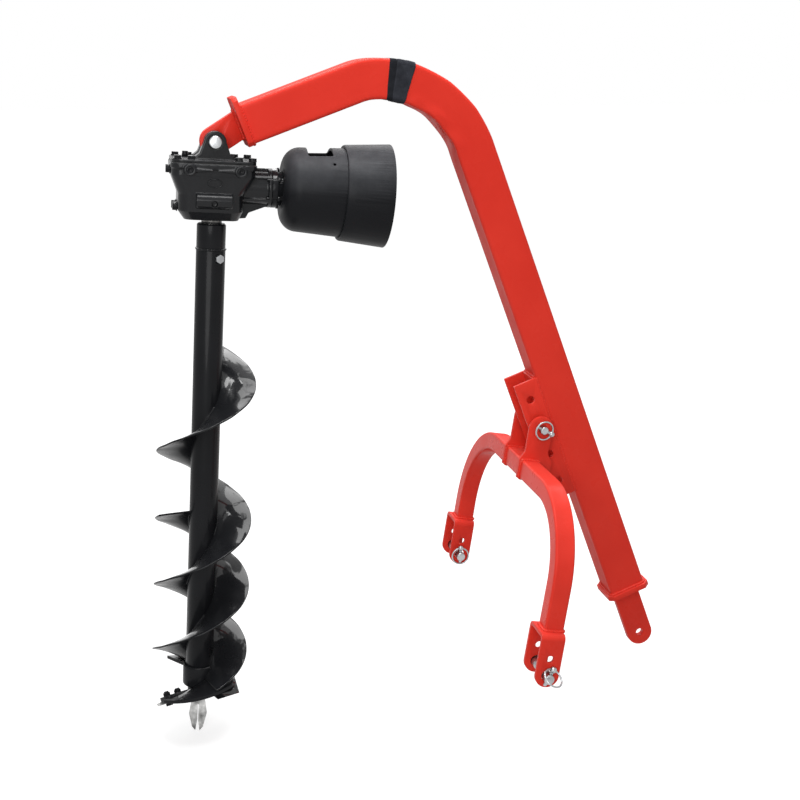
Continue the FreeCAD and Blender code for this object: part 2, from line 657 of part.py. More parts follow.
def breather():
    """The vent plug on the lid."""
    body = hexagon(14.0, V(-60, 24, COVER_TOP), Z, 6.0).fuse(rod(6.0, V(-60, 24, COVER_TOP - 9), Z, 10))
    cap = rod(6.5, V(-60, 24, COVER_TOP + 6), Z, 6.0)
    return on_gearbox(body.fuse(cap))


def tip_pin():
    """The gearbox's hanging pin: head on the near side, cotter hole at the far end."""
    half = EAR_SPREAD / 2
    pin = rod(TIP_PIN / 2, V(0, -half - 0.3, 0), Y, 2 * half + 17.0)
    head = rod(14.3, V(0, -half - 7.0, 0), Y, 6.7)
    head = head.makeChamfer(2.2, [e for e in head.Edges if e.BoundBox.YMax < -half - 6.9])
    solid = pin.fuse(head).removeSplitter()
    solid = solid.makeChamfer(1.8, [e for e in solid.Edges if e.BoundBox.YMin > half + 16.6])
    return on_gearbox(solid.cut(rod(2.4, V(0, half + 9.0, -20), Z, 40)))


def tip_washer():
    return on_gearbox(ring(22.0, TIP_PIN / 2 + 0.4, V(0, EAR_SPREAD / 2 + 0.2, 0), Y, 3.0))


def tip_cotter():
    """A split pin through the tip pin, its two tails bent round."""
    y = EAR_SPREAD / 2 + 9.0
    shank = rod(2.0, V(0, y, -19.0), Z, 38.0)
    eye = Part.makeTorus(4.2, 2.0, V(0, y, 22.5), Y)
    tails = rod(1.4, V(0, y, -18.5), V(1, 0.2, -0.1).normalize(), 15.0)
    tails = tails.fuse(rod(1.4, V(0, y, -18.5), V(-1, 0.2, -0.1).normalize(), 15.0))
    return on_gearbox(shank.fuse(eye).fuse(tails))


# ---- bevel gears --------------------------------------------------------------------------------
def bevel(teeth, mate, bore, back, hub_r, hub_back):
    """A straight bevel gear, axis +Z, apex at the origin, teeth facing the apex's far side.

    Every tooth is a ruled loft from its large end to the same section scaled toward the apex.
    """
    pitch_r = MODULE * teeth / 2
    cone = math.atan2(teeth, mate)
    length = pitch_r / math.sin(cone)
    scale = (length - GEAR_FACE) / length
    addendum, dedendum = 0.76 * MODULE, 1.15 * MODULE
    half = math.pi * MODULE / 4 - 0.46
    slope = math.tan(math.radians(21.0))

    def point(rise, side, factor):
        radial = length * math.sin(cone) + rise * math.cos(cone)
        axial = length * math.cos(cone) - rise * math.sin(cone)
        return V(radial, side, axial) * factor

    profile = ((-dedendum - 0.6, half + dedendum * slope), (addendum, half - addendum * slope),
               (addendum, -half + addendum * slope), (-dedendum - 0.6, -half - dedendum * slope))
    ends = []
    for factor in (1.0, scale):
        points = [point(rise, side, factor) for rise, side in profile]
        ends.append(Part.makePolygon(points + points[:1]))
    tooth = Part.makeLoft(ends, True, True)
    root_out = point(-dedendum, 0, 1.0)
    root_in = point(-dedendum, 0, scale)
    outline = [V(bore, 0, root_in.z), root_in, root_out, V(root_out.x, 0, back), V(hub_r, 0, back),
               V(hub_r, 0, hub_back), V(bore, 0, hub_back)]
    blank = Part.Face(Part.makePolygon(outline + outline[:1])).revolve(V(0, 0, 0), Z, 360)
    blank = Part.Solid(blank)
    solids = []
    for index in range(teeth):
        copy = tooth.copy()
        copy.rotate(V(0, 0, 0), Z, 360.0 * index / teeth)
        solids.append(copy)
    return blank.multiFuse(solids)


def crown_gear():
    """Crown wheel: above the input shaft, teeth down."""
    gear = bevel(CROWN_TEETH, PINION_TEETH, 20.05, 31.0, 32.0, 33.5)
    gear.translate(V(0, 0, INPUT_Z))
    return on_gearbox(gear)


def pinion_shaft():
    """Input shaft with its pinion cut on the end; smooth power take-off stub with a cross hole."""
    gear = bevel(PINION_TEETH, CROWN_TEETH, 0.0, 62.0, 17.4, 66.0)
    shaft = rod(17.5, V(0, 0, 60.0), Z, 81.0)
    shaft = shaft.fuse(rod(17.0, V(0, 0, 140.0), Z, STUB_START - 139.0))
    shaft = shaft.fuse(rod(INPUT_SHAFT / 2, V(0, 0, STUB_START), Z, INPUT_END - STUB_START))
    shaft = shaft.makeChamfer(2.5, [e for e in shaft.Edges if e.BoundBox.ZMin > INPUT_END - 0.1])
    gear = gear.fuse(shaft).cut(rod(6.5, V(-30, 0, INPUT_END - 30), X, 60))
    gear.rotate(V(0, 0, 0), Y, 90)
    gear.translate(V(0, 0, INPUT_Z))
    return on_gearbox(gear)


def output_shaft():
    """Stepped vertical shaft from the lid's bearing down into the auger's hub."""
    shaft = rod(15.0, V(0, 0, -59.5), Z, 13.0)
    shaft = shaft.fuse(rod(20.0, V(0, 0, -86.0), Z, 27.0))
    shaft = shaft.fuse(rod(25.5, V(0, 0, -84.0), Z, 84.0 + CROWN_SEAT))
    shaft = shaft.fuse(rod(22.5, V(0, 0, -174.0), Z, 92.0))
    tail = rod(OUTPUT_SHAFT / 2, V(0, 0, -268.0), Z, 95.0)
    tail = tail.makeChamfer(2.5, [e for e in tail.Edges if e.BoundBox.ZMax < -267.9])
    shaft = shaft.fuse(tail).cut(shear_hole(6.2))
    return on_gearbox(shaft.removeSplitter())


def shear_hole(radius):
    return rod(radius, V(0, 0, SHEAR_Z) - shear_axis() * 60, shear_axis(), 120)


def outer_races(bearing, place):
    """Outer rings of the bearings on one shaft."""
    outer, inner, width, centres = bearing
    solids = []
    for centre in centres:
        solids.append(place(ring(outer, outer - 4.2, V(0, 0, centre - width / 2), Z, width)))
    return group(solids)


def inner_races(bearing, rollers, place):
    """Inner rings with their rollers."""
    outer, inner, width, centres = bearing
    solids = []
    roller = (outer - inner - 8.4) / 2
    middle = (outer + inner) / 2
    for centre in centres:
        solids.append(place(ring(inner + 4.1, inner, V(0, 0, centre - width / 2), Z, width)))
        for index in range(rollers):
            angle = 2 * math.pi * index / rollers
            at = V(middle * math.cos(angle), middle * math.sin(angle), centre - width / 2 + 1.5)
            solids.append(place(rod(roller - 0.05, at, Z, width - 3.0)))
    return group(solids)


def on_input(solid):
    solid.rotate(V(0, 0, 0), Y, 90)
    solid.translate(V(0, 0, INPUT_Z))
    return on_gearbox(solid)


def input_cap():
    """The neck's end cap with its seal seat; the power take-off shield bolts to it."""
    cap = ring(43.0, 26.0, V(0, 0, NECK_END + 0.2), Z, CAP_T - 0.2)
    cap = cap.fuse(ring(38.0, 26.0, V(0, 0, NECK_END + CAP_T - 1), Z, 2.0))
    cap = cap.fuse(ring(30.9, 26.0, V(0, 0, NECK_END - 5.0), Z, 6.0))
    cap = cap.fuse(ring(38.0, 20.5, V(0, 0, NECK_END + CAP_T + 1), Z, 21.0))
    for x, y in cap_screw_places():
        cap = cap.cut(rod(3.2, V(x, y, NECK_END - 6), Z, 40))
        cap = cap.cut(rod(5.4, V(x, y, NECK_END + CAP_T), Z, 8))
    return on_input(cap.removeSplitter())


def cap_screws():
    solids = []
    for x, y in cap_screw_places():
        head = rod(5.0, V(x, y, NECK_END + CAP_T), Z, 5.0).cut(rod(2.4, V(x, y, NECK_END + CAP_T + 2), Z, 4))
        solids.append(rod(2.5, V(x, y, NECK_END - 12), Z, CAP_T + 13).fuse(head))
    return on_input(group(solids))


# ---- the power take-off shield ------------------------------------------------------------------
def bell_profile(offset):
    """Outline of the bell from its back face to its rim, at an inward offset."""
    back = BELL_BACK + offset
    flat = 54.0
    shoulder = BELL_R - 3.0 - offset
    knee = BELL_BACK + 38.0
    mid = V(back + (1 - math.sqrt(0.5)) * (38.0 - offset), 0, flat + math.sqrt(0.5) * (shoulder - flat))
    return back, flat, shoulder, knee, mid


def shield_bell():
    """The plastic bell round the input shaft, with an access window cut in its top."""
    rim = SLEEVE_START + 56.0
    edges = []
    faces = []
    for offset in (0.0, BELL_WALL):
        back, flat, shoulder, knee, mid = bell_profile(offset)
        arc = Part.Arc(V(back, 0, flat), mid, V(knee, 0, shoulder)).toShape()
        wire = Part.Wire([Part.makeLine(V(back, 0, 0), V(back, 0, flat)), arc,
                          Part.makeLine(V(knee, 0, shoulder), V(rim + offset, 0, shoulder + 9.0)),
                          Part.makeLine(V(rim + offset, 0, shoulder + 9.0), V(rim + offset, 0, 0)),
                          Part.makeLine(V(rim + offset, 0, 0), V(back, 0, 0))])
        faces.append(Part.Solid(Part.Face(wire).revolve(V(0, 0, 0), X, 360)))
    bell = faces[0].cut(faces[1])
    bell = bell.cut(rod(38.25, V(BELL_BACK - 5, 0, 0), X, 20))
    window = block(199, 255, -51, 51, 40, 130)
    window = window.makeFillet(4.0, upright(window, Z))
    bell = bell.cut(window)
    spot = rod(3.2, V(255, 0, 60), Z, 80)
    spot.rotate(V(0, 0, 0), X, 47)
    return drooped(bell.cut(spot).removeSplitter())


def drooped(solid):
    """From the bell's own axis to the machine: it hangs a little low on the cap's nose."""
    solid.rotate(V(BELL_BACK, 0, 0), Y, BELL_DROOP)
    solid.translate(V(0, 0, INPUT_Z))
    return on_gearbox(solid)


def shield_clamp():
    """The retaining ring that holds the bell on the input cap."""
    clamp = ring(45.0, 38.05, V(BELL_BACK + BELL_WALL + 1.7, 0, INPUT_Z), X, 5.5)
    return on_gearbox(clamp)


def shield_sleeve():
    """The outer sleeve, which slides back along the bell to close the window."""
    end = SLEEVE_START + SLEEVE_LENGTH
    lip = 106.5
    flare = 9.0
    outline = [V(SLEEVE_START, 0, lip - 1.5), V(SLEEVE_START + 3, 0, lip), V(end, 0, lip + flare),
               V(end, 0, lip + flare - SLEEVE_WALL), V(SLEEVE_START + 4, 0, lip - SLEEVE_WALL),
               V(SLEEVE_START + 4, 0, SLEEVE_GUIDE), V(SLEEVE_START, 0, SLEEVE_GUIDE)]
    sleeve = Part.Solid(Part.Face(Part.makePolygon(outline + outline[:1])).revolve(V(0, 0, 0), X, 360))
    return drooped(sleeve)


# ---- the auger ----------------------------------------------------------------------------------
def auger_hub():
    """The hub's shoulder above the tube, and the spigot inside it that the shear bolt passes."""
    bore, shoulder = OUTPUT_SHAFT / 2 + SLIDING, HUB_TOP - HUB_LENGTH
    hub = ring(AUGER_TUBE / 2 - 0.4, bore, V(0, 0, shoulder), Z, HUB_LENGTH)
    hub = hub.makeChamfer(3.0, [e for e in hub.Edges if e.BoundBox.ZMin > HUB_TOP - 0.1 and e.Length > 180])
    spigot = ring(AUGER_TUBE / 2 - AUGER_WALL - 0.02, bore, V(0, 0, SPIGOT_END), Z, shoulder - SPIGOT_END)
    return on_gearbox(hub.fuse(spigot).removeSplitter().cut(shear_hole(6.3)))


def auger_tube():
    tube = ring(AUGER_TUBE / 2, AUGER_TUBE / 2 - AUGER_WALL, V(0, 0, AUGER_BOTTOM), Z,
                HUB_TOP - HUB_LENGTH - AUGER_BOTTOM)
    return on_gearbox(tube.cut(shear_hole(6.3)))


def shear_axis():
    turn = math.radians(SHEAR_TURN)
    return V(math.sin(turn), -math.cos(turn), 0)


def shear_bolt():
    axis = shear_axis()
    face = AUGER_TUBE / 2 + 0.6
    middle = V(0, 0, SHEAR_Z)
    bolt = hexagon(18.0, middle + axis * face, axis, 7.5, 30)
    bolt = bolt.fuse(rod(6.0, middle - axis * (face + 16), axis, 2 * face + 17))
    return on_gearbox(bolt)


def shear_nut():
    axis = shear_axis()
    face = AUGER_TUBE / 2 + 0.6
    nut = hexagon(18.0, V(0, 0, SHEAR_Z) - axis * face, axis * -1, 10.0, 30)
    return on_gearbox(nut.cut(shear_hole(6.05)))


def helical(top_angle, bottom_angle, level, pitch, thickness):
    """A helical plate round the tube between two bearings.

    Angles are in degrees from +X, counted up the helix; level is its height at angle 0.
    """
    turns = (top_angle - bottom_angle) / 360.0
    inner, outer, half = AUGER_TUBE / 2 - 0.6, FLIGHT_R, thickness / 2
    path = Part.makeHelix(pitch, turns * pitch, (inner + outer) / 2)
    corners = [V(inner, 0, -half), V(outer, 0, -half), V(outer, 0, half), V(inner, 0, half)]
    section = Part.makePolygon(corners + corners[:1])
    solid = Part.Solid(Part.Wire(path).makePipeShell([section], True, True))
    solid.rotate(V(0, 0, 0), Z, bottom_angle)
    solid.translate(V(0, 0, level + pitch * bottom_angle / 360.0))
    solid = solid.cut(rod(AUGER_TUBE / 2 + 0.02, V(0, 0, AUGER_BOTTOM - 80), Z, 1200))
    return solid.cut(rod(COLLAR_R + 0.02, V(0, 0, AUGER_BOTTOM - 45), Z, COLLAR_LENGTH + 32))


def flight_long():
    return on_gearbox(helical(FLIGHT_START, FLIGHT_END - 720.0, FLIGHT_TOP_Z, PITCH, FLIGHT_T))


def flight_short():
    level = FLIGHT_TOP_Z - 1.5 * PITCH
    return on_gearbox(helical(SHORT_START, FLIGHT_END - 180.0, level, PITCH, FLIGHT_T))


def cutter_flights():
    """The two thicker quarter turns that carry the cutting plates, lapped under the flights."""
    holders = cutter_plates()
    solids = []
    for side in range(2):
        start = FLIGHT_END + 22.0
        level = LOW_START_Z - LOW_PITCH * start / 360.0
        wing = helical(start, CUT_ANGLE + 8.0, level, LOW_PITCH, LOW_T)
        wing = wing.cut(holders[0])
        wing = max(wing.Solids, key=lambda solid: solid.Volume)
        solids.append(around_auger(wing.copy(), 180 * side))
    return on_gearbox(group(solids))


def bottom_collar():
    """The socket welded round the foot of the tube, which takes the pilot's shank."""
    low = AUGER_BOTTOM - 13
    collar = rod(COLLAR_R, V(0, 0, low), Z, COLLAR_LENGTH)
    collar = collar.makeFillet(6.0, [e for e in collar.Edges if e.BoundBox.ZMax < low + 1])
    collar = collar.cut(rod(AUGER_TUBE / 2 + 0.02, V(0, 0, AUGER_BOTTOM), Z, 80))
    return on_gearbox(collar.cut(rod(PILOT_SHANK + 0.05, V(0, 0, low - 1), Z, 30)))


def at_cutter(solid, side):
    """Place a piece laid along +X, cutting edge toward -Y, at one of the two cutting edges."""
    solid.rotate(V(0, 0, 0), X, ATTACK)
    solid.translate(V(0, 0, CUT_Z))
    return around_auger(solid, CUT_ANGLE + 180 * side)


def cutter_plates():
    """The two pitched plates that the teeth bolt to."""
    solids = []
    for side in range(2):
        outline = block(PILOT_SHANK - 2, CUT_R - 14, -22, 20, 0, HOLDER_T)
        outline = outline.makeChamfer(9.0, [e for e in upright(outline, Z) if e.Vertexes[0].X > 60])
        for centre in TOOTH_BOLTS:
            outline = outline.cut(rod(5.6, V(centre, -6, -5), Z, 30))
        solids.append(at_cutter(outline, side))
    return solids


def cutter_bar():
    """Both cutting plates, joined by the socket under the collar that holds the pilot."""
    plates = cutter_plates()
    bar = plates[0].fuse(plates[1])
    low = AUGER_BOTTOM - 13
    core = rod(PILOT_SHANK + 11.0, V(0, 0, low - 32), Z, 32)
    core = core.makeFillet(7.0, [e for e in core.Edges if e.BoundBox.ZMax < low - 31])
    bar = bar.fuse(core).cut(rod(COLLAR_R + 40, V(0, 0, low), Z, 60))
    bar = bar.cut(rod(PILOT_SHANK + 0.05, V(0, 0, low - 60), Z, 90))
    return on_gearbox(bar.removeSplitter())


def teeth():
    """Bevelled cutting teeth bolted under the holders."""
    solids = []
    for side in range(2):
        tooth = plate(((34, 0), (CUT_R, 0), (CUT_R, -TOOTH_T), (34, -TOOTH_T)), -40, 8)
        bevel_cut = block(20, 140, -60, -10, -30, 0)
        bevel_cut.rotate(V(0, -24, -TOOTH_T), X, -24)
        tooth = tooth.cut(bevel_cut.translated(V(0, 0, -TOOTH_T)))
        corner = block(0, 60, -60, 20, -30, 30)
        corner.rotate(V(0, 0, 0), Z, -16)
        tooth = tooth.cut(corner.translated(V(CUT_R - 3, 0, 0)))
        for centre in TOOTH_BOLTS:
            tooth = tooth.cut(rod(5.6, V(centre, -6, -30), Z, 60))
        solids.append(at_cutter(tooth, side))
    return on_gearbox(group(solids))


def tooth_bolts():
    solids = []
    for side in range(2):
        for centre in TOOTH_BOLTS:
            bolt = hexagon(16.0, V(centre, -6, -TOOTH_T), V(0, 0, -1), 6.5, 30)
            bolt = bolt.fuse(rod(5.5, V(centre, -6, -TOOTH_T - 1), Z, TOOTH_T + HOLDER_T + 12))
            nut = hexagon(16.0, V(centre, -6, HOLDER_T), Z, 8.0, 30)
            solids.append(at_cutter(bolt.fuse(nut), side))
    return on_gearbox(group(solids))


def pilot_bit():
    """The fishtail pilot: a round shank and a flat leaf split into two opposed cutting prongs."""
    low = AUGER_BOTTOM - 13 - 32
    shank = rod(PILOT_SHANK, V(0, 0, low - 2), Z, 60)
    solid = shank
    for side in range(2):
        outline = ((1.2, low - 0.3), (1.2, PILOT_TIP + 26), (5, PILOT_TIP), (13, PILOT_TIP + 10),
                   (21, PILOT_TIP + 44), (16, low - 12), (16, low - 0.3))
        leaf = plate(outline, -5.5, 5.5)
        slope = block(-10, 60, 0, 40, -80, 0)
        slope.rotate(V(0, 0, 0), X, 22)
        slope.translate(V(0, 5.5, PILOT_TIP + 26))
        leaf = leaf.cut(slope)
        leaf.rotate(V(0, 0, 0), Z, -20)
        solid = solid.fuse(around_auger(leaf, PILOT_TURN + 180 * side))
    low_web = block(-15, 15, -5, 5, low - 22, low)
    solid = solid.fuse(around_auger(low_web, PILOT_TURN - 20))
    solid = solid.cut(pilot_hole(5.3))
    return on_gearbox(solid.removeSplitter())


def pilot_hole(radius):
    middle = V(0, 0, AUGER_BOTTOM - 30)
    axis = V(math.cos(math.radians(CUT_ANGLE + 90)), math.sin(math.radians(CUT_ANGLE + 90)), 0)
    return rod(radius, middle - axis * 60, axis, 120)


def build():
    nodes = {
        "boom_tube": boom_tube(),
        "boom_wrap": boom_wrap(),
        "boom_tip_plate": boom_tip_plate(),
        "boom_tip_tongue": boom_tip_tongue(),
        "boom_foot_plate": boom_foot_plate(),
        "boom_foot_tongue": boom_foot_tongue(),
        "yoke_bracket": yoke_bracket(),
        "yoke_cross_tube": yoke_cross_tube(),
        "yoke_pin": yoke_pin(),
        "gearbox_housing": gearbox_housing(),
        "gearbox_cover": gearbox_cover(),
        "cover_gasket": cover_gasket(),
        "cover_bolts": cover_bolts(),
        "back_plugs": back_plugs(),
        "side_plugs": side_plugs(),
        "breather": breather(),
        "tip_pin": tip_pin(),
        "tip_washer": tip_washer(),
        "tip_cotter": tip_cotter(),
        "crown_gear": crown_gear(),
        "pinion_shaft": pinion_shaft(),
        "output_shaft": output_shaft(),
        "input_cap": input_cap(),
        "shield_bell": shield_bell(),
        "shield_clamp": shield_clamp(),
        "shield_sleeve": shield_sleeve(),
        "auger_hub": auger_hub(),
        "auger_tube": auger_tube(),
        "shear_bolt": shear_bolt(),
        "shear_nut": shear_nut(),
        "flight_long": flight_long(),
        "flight_short": flight_short(),
        "cutter_flights": cutter_flights(),
        "bottom_collar": bottom_collar(),
        "cutter_bar": cutter_bar(),
        "teeth": teeth(),
        "tooth_bolts": tooth_bolts(),
        "pilot_bit": pilot_bit(),
        "output_bearings_outer": group([outer_races(LID_BEARING, on_gearbox),
                                        outer_races(BASE_BEARING, on_gearbox)]),
        "output_bearings_inner": group([inner_races(LID_BEARING, 12, on_gearbox),
                                        inner_races(BASE_BEARING, 16, on_gearbox)]),
        "input_bearings_outer": outer_races(INPUT_BEARINGS, on_input),
        "input_bearings_inner": inner_races(INPUT_BEARINGS, 14, on_input),
        "shaft_seals": group([on_gearbox(ring(31.0, 22.55, V(0, 0, BODY_BOTTOM), Z, 5.0)),
                              on_input(ring(26.0, 17.55, V(0, 0, 131.2), Z, 9.0))]),
        "cap_screws": cap_screws(),
        "yoke_linch_pin": on_yoke(linch_pin(TOP_LINCH_Y, TOP_TURN)),
        "yoke_linch_ring": on_yoke(linch_ring(TOP_LINCH_Y, TOP_TURN, TOP_OPEN)),
    }
    sides = (("near", -1, NEAR_TURN, NEAR_OPEN), ("far", 1, FAR_TURN, FAR_OPEN))
    for name, side, turn, opened in sides:
        nodes["yoke_leg_" + name] = yoke_leg(side)
        nodes["yoke_ear_" + name] = yoke_ear(side)
        nodes["clevis_" + name] = clevis(side)
        nodes["lower_pin_" + name] = lower_pin(side, turn)
        nodes["lower_linch_pin_" + name] = placed_low(linch_pin(LOW_LINCH_Y, turn), side)
        nodes["lower_linch_ring_" + name] = placed_low(linch_ring(LOW_LINCH_Y, turn, opened), side)
    return nodes


if __name__ == "__main__":
    os.makedirs("parts", exist_ok=True)
    for node, shape in build().items():
        shape.exportStep("parts/%s.step" % node)
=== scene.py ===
"""The looks of the earth auger drive: paint, castings, welds, tape and bright hardware."""

import json
import math

import bmesh
import bpy
from bpy.props import FloatProperty, FloatVectorProperty, PointerProperty
from mathutils import Matrix, Vector, noise


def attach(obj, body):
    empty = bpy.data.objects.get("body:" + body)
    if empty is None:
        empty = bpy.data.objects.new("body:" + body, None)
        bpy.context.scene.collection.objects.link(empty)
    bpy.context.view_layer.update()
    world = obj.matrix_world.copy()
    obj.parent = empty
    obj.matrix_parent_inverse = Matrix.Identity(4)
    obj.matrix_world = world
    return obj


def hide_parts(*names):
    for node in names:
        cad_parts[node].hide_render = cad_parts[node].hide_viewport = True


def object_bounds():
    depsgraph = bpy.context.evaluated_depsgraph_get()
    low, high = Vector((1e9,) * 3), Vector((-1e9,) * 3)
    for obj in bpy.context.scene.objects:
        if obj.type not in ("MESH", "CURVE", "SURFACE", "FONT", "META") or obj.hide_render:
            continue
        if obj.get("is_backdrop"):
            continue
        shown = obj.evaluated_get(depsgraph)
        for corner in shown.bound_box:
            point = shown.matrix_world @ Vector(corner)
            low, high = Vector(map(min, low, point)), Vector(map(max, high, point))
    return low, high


bl_info = {
    "name": "Earth auger drive",
    "version": (1, 0, 0),
    "blender": (4, 5, 0),
    "location": "View3D > Sidebar > Auger",
    "description": "Builds the finished surfaces of a tractor post-hole digger round its CAD frame",
    "category": "Object",
}

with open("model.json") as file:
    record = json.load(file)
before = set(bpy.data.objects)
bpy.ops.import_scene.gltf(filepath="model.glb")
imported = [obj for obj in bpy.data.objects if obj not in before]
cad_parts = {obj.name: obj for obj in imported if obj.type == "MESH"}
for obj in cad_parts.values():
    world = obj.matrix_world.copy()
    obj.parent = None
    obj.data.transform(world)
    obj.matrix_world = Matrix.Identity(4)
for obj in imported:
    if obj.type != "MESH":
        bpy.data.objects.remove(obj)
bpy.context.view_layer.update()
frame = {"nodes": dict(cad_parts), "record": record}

# Driving sizes of the frame, in metres and degrees.
PIN_HOLE = (-1.0342, 1.2393)      # where the gearbox hangs, x and z
PIVOT = (-0.2894, 0.5644)         # where the yoke hangs, x and z
BOOM_LEAN = 20.5                  # lean of the long straight from the vertical
LEVEL_Z = 1.371                   # height of the level stretch above the foot's bore
BEND_R = 0.2346                   # centre-line radius of the big bend
FOOT_START = 0.1442               # the tube starts this far up from the foot's bore
TIP_DROP = 20.0                   # how far the tip section slopes down
TIP_BEND_R = 0.135
TIP_CORNER_X = -0.7038            # where the level line meets the tip section's line
TIP_LENGTH = 0.279                # from that corner to the end of the tube
TONGUE_SLOPE = 32.0
BOOM_HALF = 0.04445               # half the width of the boom's square tube
BOOM_CORNER = 0.008
END_PLATE = 0.0127
FOOT_TONGUE = (0.0325, 0.0105)    # half width and half thickness, with the weld's gap
TIP_TONGUE = (0.031, 0.0125)      # half width and half thickness
BRACKET_TOP = 0.748               # along the boom from the foot's bore
BRACKET_LENGTH = 0.3048
BRACKET_T = 0.008
YOKE_LEAN = 9.0
LEG_HALF = 0.022225               # half the width of the yoke's square tube
LEG_CORNER = 0.005
LEG_MIDDLE = 0.385                # middle of each leg from the middle plane
LEG_OFF = -0.016                  # the arch hangs a little behind the pivot
LEG_BEND = {"near": 0.173, "far": 0.228}
CROWN_Z = -0.101                  # middle of the crown below the pivot
CLEVIS_TOP = -0.368
EAR_IN = 0.055                    # inner and outer face of each ear
EAR_OUT = 0.065
HANG = 3.474                      # the gearbox hangs this far off plumb
LAND_Z = -0.086                   # middle of the oval land, below the tip pin
LAND_OUT = 0.0676                 # the casting's side wall at that height
WALL_DRAFT = 8.5                  # slope of that wall
TUBE_R = 0.03255
FLIGHT_R = 0.111
FLIGHT_T = 0.0046
FLIGHT_PITCH = 0.323
FLIGHT_TOP_Z = -0.537             # where the long flight first passes the tractor side
LONG_FLIGHT = (80.0, -792.0)      # bearings of the upper and lower end
SHORT_FLIGHT = (200.0, -252.0)
HUB_SEAM_Z = -0.2345
COLLAR_SEAM_Z = -1.2255
NEAR_AND_FAR = (("near", -1), ("far", 1))
CORNERS = ((-1, -1), (1, -1), (1, 1), (-1, 1))


def turned(angle, x, z):
    """A place in the middle plane, turned about the crosswise axis."""
    return Matrix.Translation((x, 0, z)) @ Matrix.Rotation(math.radians(angle), 4, "Y")


BOOM = turned(-BOOM_LEAN, 0, 0)
TIP = turned(-TIP_DROP, TIP_CORNER_X - TIP_LENGTH * math.cos(math.radians(TIP_DROP)),
             LEVEL_Z - TIP_LENGTH * math.sin(math.radians(TIP_DROP)))
YOKE = turned(YOKE_LEAN, *PIVOT)
GEARBOX = turned(HANG, *PIN_HOLE)
TONGUE = turned(-TONGUE_SLOPE, *PIN_HOLE)

SLOTS = {part["node"]: part["material_slot"] for part in frame["record"]["subparts"]}
BODIES = {node: body for body, nodes in frame["record"]["behaviour"]["bodies"].items() for node in nodes}


# ---- settings ----------------------------------------------------------------------------------
def length(label, text, default):
    return FloatProperty(name=label, description=text, default=default, unit="LENGTH", precision=5)


def tint(label, text, default):
    return FloatVectorProperty(name=label, description=text, default=default, size=3, subtype="COLOR",
                               min=0.0, max=1.0)


def share(label, text, default):
    return FloatProperty(name=label, description=text, default=default, min=0.0, max=1.0, subtype="FACTOR")


class AugerForms(bpy.types.PropertyGroup):
    """Sizes of what the finish adds to the frame."""
    plate_edge: length("Plate edge", "Rounding on the edges of cut plate", 0.0011)
    small_edge: length("Hardware edge", "Rounding on pins, bolts and nuts", 0.00045)
    cast_grid: length("Casting grid", "Fineness of the castings' rounded skin", 0.0013)
    weld_radius: length("Weld", "Radius of the fillet welds", 0.0036)
    stitch: length("Stitch weld", "Length of each weld between flight and tube", 0.052)
    crush: length("Bend crush", "How deep the inner wall of the big bend is pressed in", 0.0075)
    flat: length("Bend flats", "How far the outer wall of the big bend departs from a true arc", 0.0012)
    tape_layer: length("Tape", "Thickness of one turn of tape", 0.0008)
    ripple: length("Flight ripple", "Waviness of the pressed flights at their rim", 0.0012)


class AugerColours(bpy.types.PropertyGroup):
    """Colours of the paints, plastics and metals."""
    red: tint("Red paint", "Gloss enamel of the boom and yoke", (0.72, 0.040, 0.024))
    red_deep: tint("Red paint, thin", "The same enamel where it lies thin or shaded", (0.66, 0.032, 0.019))
    black: tint("Black paint", "Enamel of the auger", (0.0060, 0.0063, 0.0073))
    casting: tint("Casting paint", "Enamel of the gearbox castings", (0.0058, 0.0061, 0.0070))
    plastic: tint("Shield plastic", "Moulded guard round the input shaft", (0.0055, 0.0058, 0.0070))
    zinc: tint("Zinc plate", "Pins, bolts and linch pins", (0.43, 0.44, 0.45))
    steel: tint("Tool steel", "Teeth and pilot point", (0.66, 0.66, 0.65))
    tape: tint("Tape", "Cloth tape round the bend", (0.017, 0.018, 0.022))
    # the dust colour is also a painted sheen: it makes the tops paler where light falls
    dust_and_sheen: tint("Dust", "Pale dust on upward faces", (0.36, 0.37, 0.40))


class AugerStage(bpy.types.PropertyGroup):
    """Camera and lights."""
    lens: FloatProperty(name="Lens", description="Focal length on a 36 mm wide film", default=62.0, min=10.0,
                        unit="CAMERA")
    eye: FloatVectorProperty(name="Camera", description="Where the camera stands", size=3,
                             subtype="TRANSLATION", default=(-1.2665, -3.0639, 1.4208))
    look: FloatVectorProperty(name="Sight line", description="Direction the camera looks", size=3,
                              subtype="DIRECTION", default=(0.2003, 0.9492, -0.2428))
    overhead: FloatProperty(name="Overhead", description="Power of the big soft light above", default=84.0,
                            unit="POWER")
    front: FloatProperty(name="Front", description="Power of the fill beside the camera", default=66.0,
                         unit="POWER")
    back: FloatProperty(name="Back", description="Power of the light behind and above", default=120.0,
                        unit="POWER")
    sky: share("Sky", "Brightness of the surrounding white for everything but the camera", 0.30)


def settings():
    return bpy.context.scene.auger_drive


# ---- meshes ------------------------------------------------------------------------------------
def finish_piece(obj, body, slot, smooth=40.0, node=None, finish=None):
    """Shade a new piece, paint it, and hang it on its body."""
    obj.data.shade_smooth()
    obj.data.set_sharp_from_angle(angle=math.radians(smooth))
    obj.data.materials.clear()
    obj.data.materials.append(material(finish or slot))
    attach(obj, body)
    if node:
        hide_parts(node)
    return obj


def placed(name, mesh):
    """A new object in the scene."""
    obj = bpy.data.objects.new(name, mesh)
    bpy.context.scene.collection.objects.link(obj)
    return obj


def piece(name, vertices, faces):
    """A new object from points and faces, its faces turned outwards."""
    mesh = bpy.data.meshes.new(name)
    mesh.from_pydata([tuple(v) for v in vertices], [], faces)
    shape = bmesh.new()
    shape.from_mesh(mesh)
    bmesh.ops.recalc_face_normals(shape, faces=shape.faces)
    shape.to_mesh(mesh)
    shape.free()
    return placed(name, mesh)


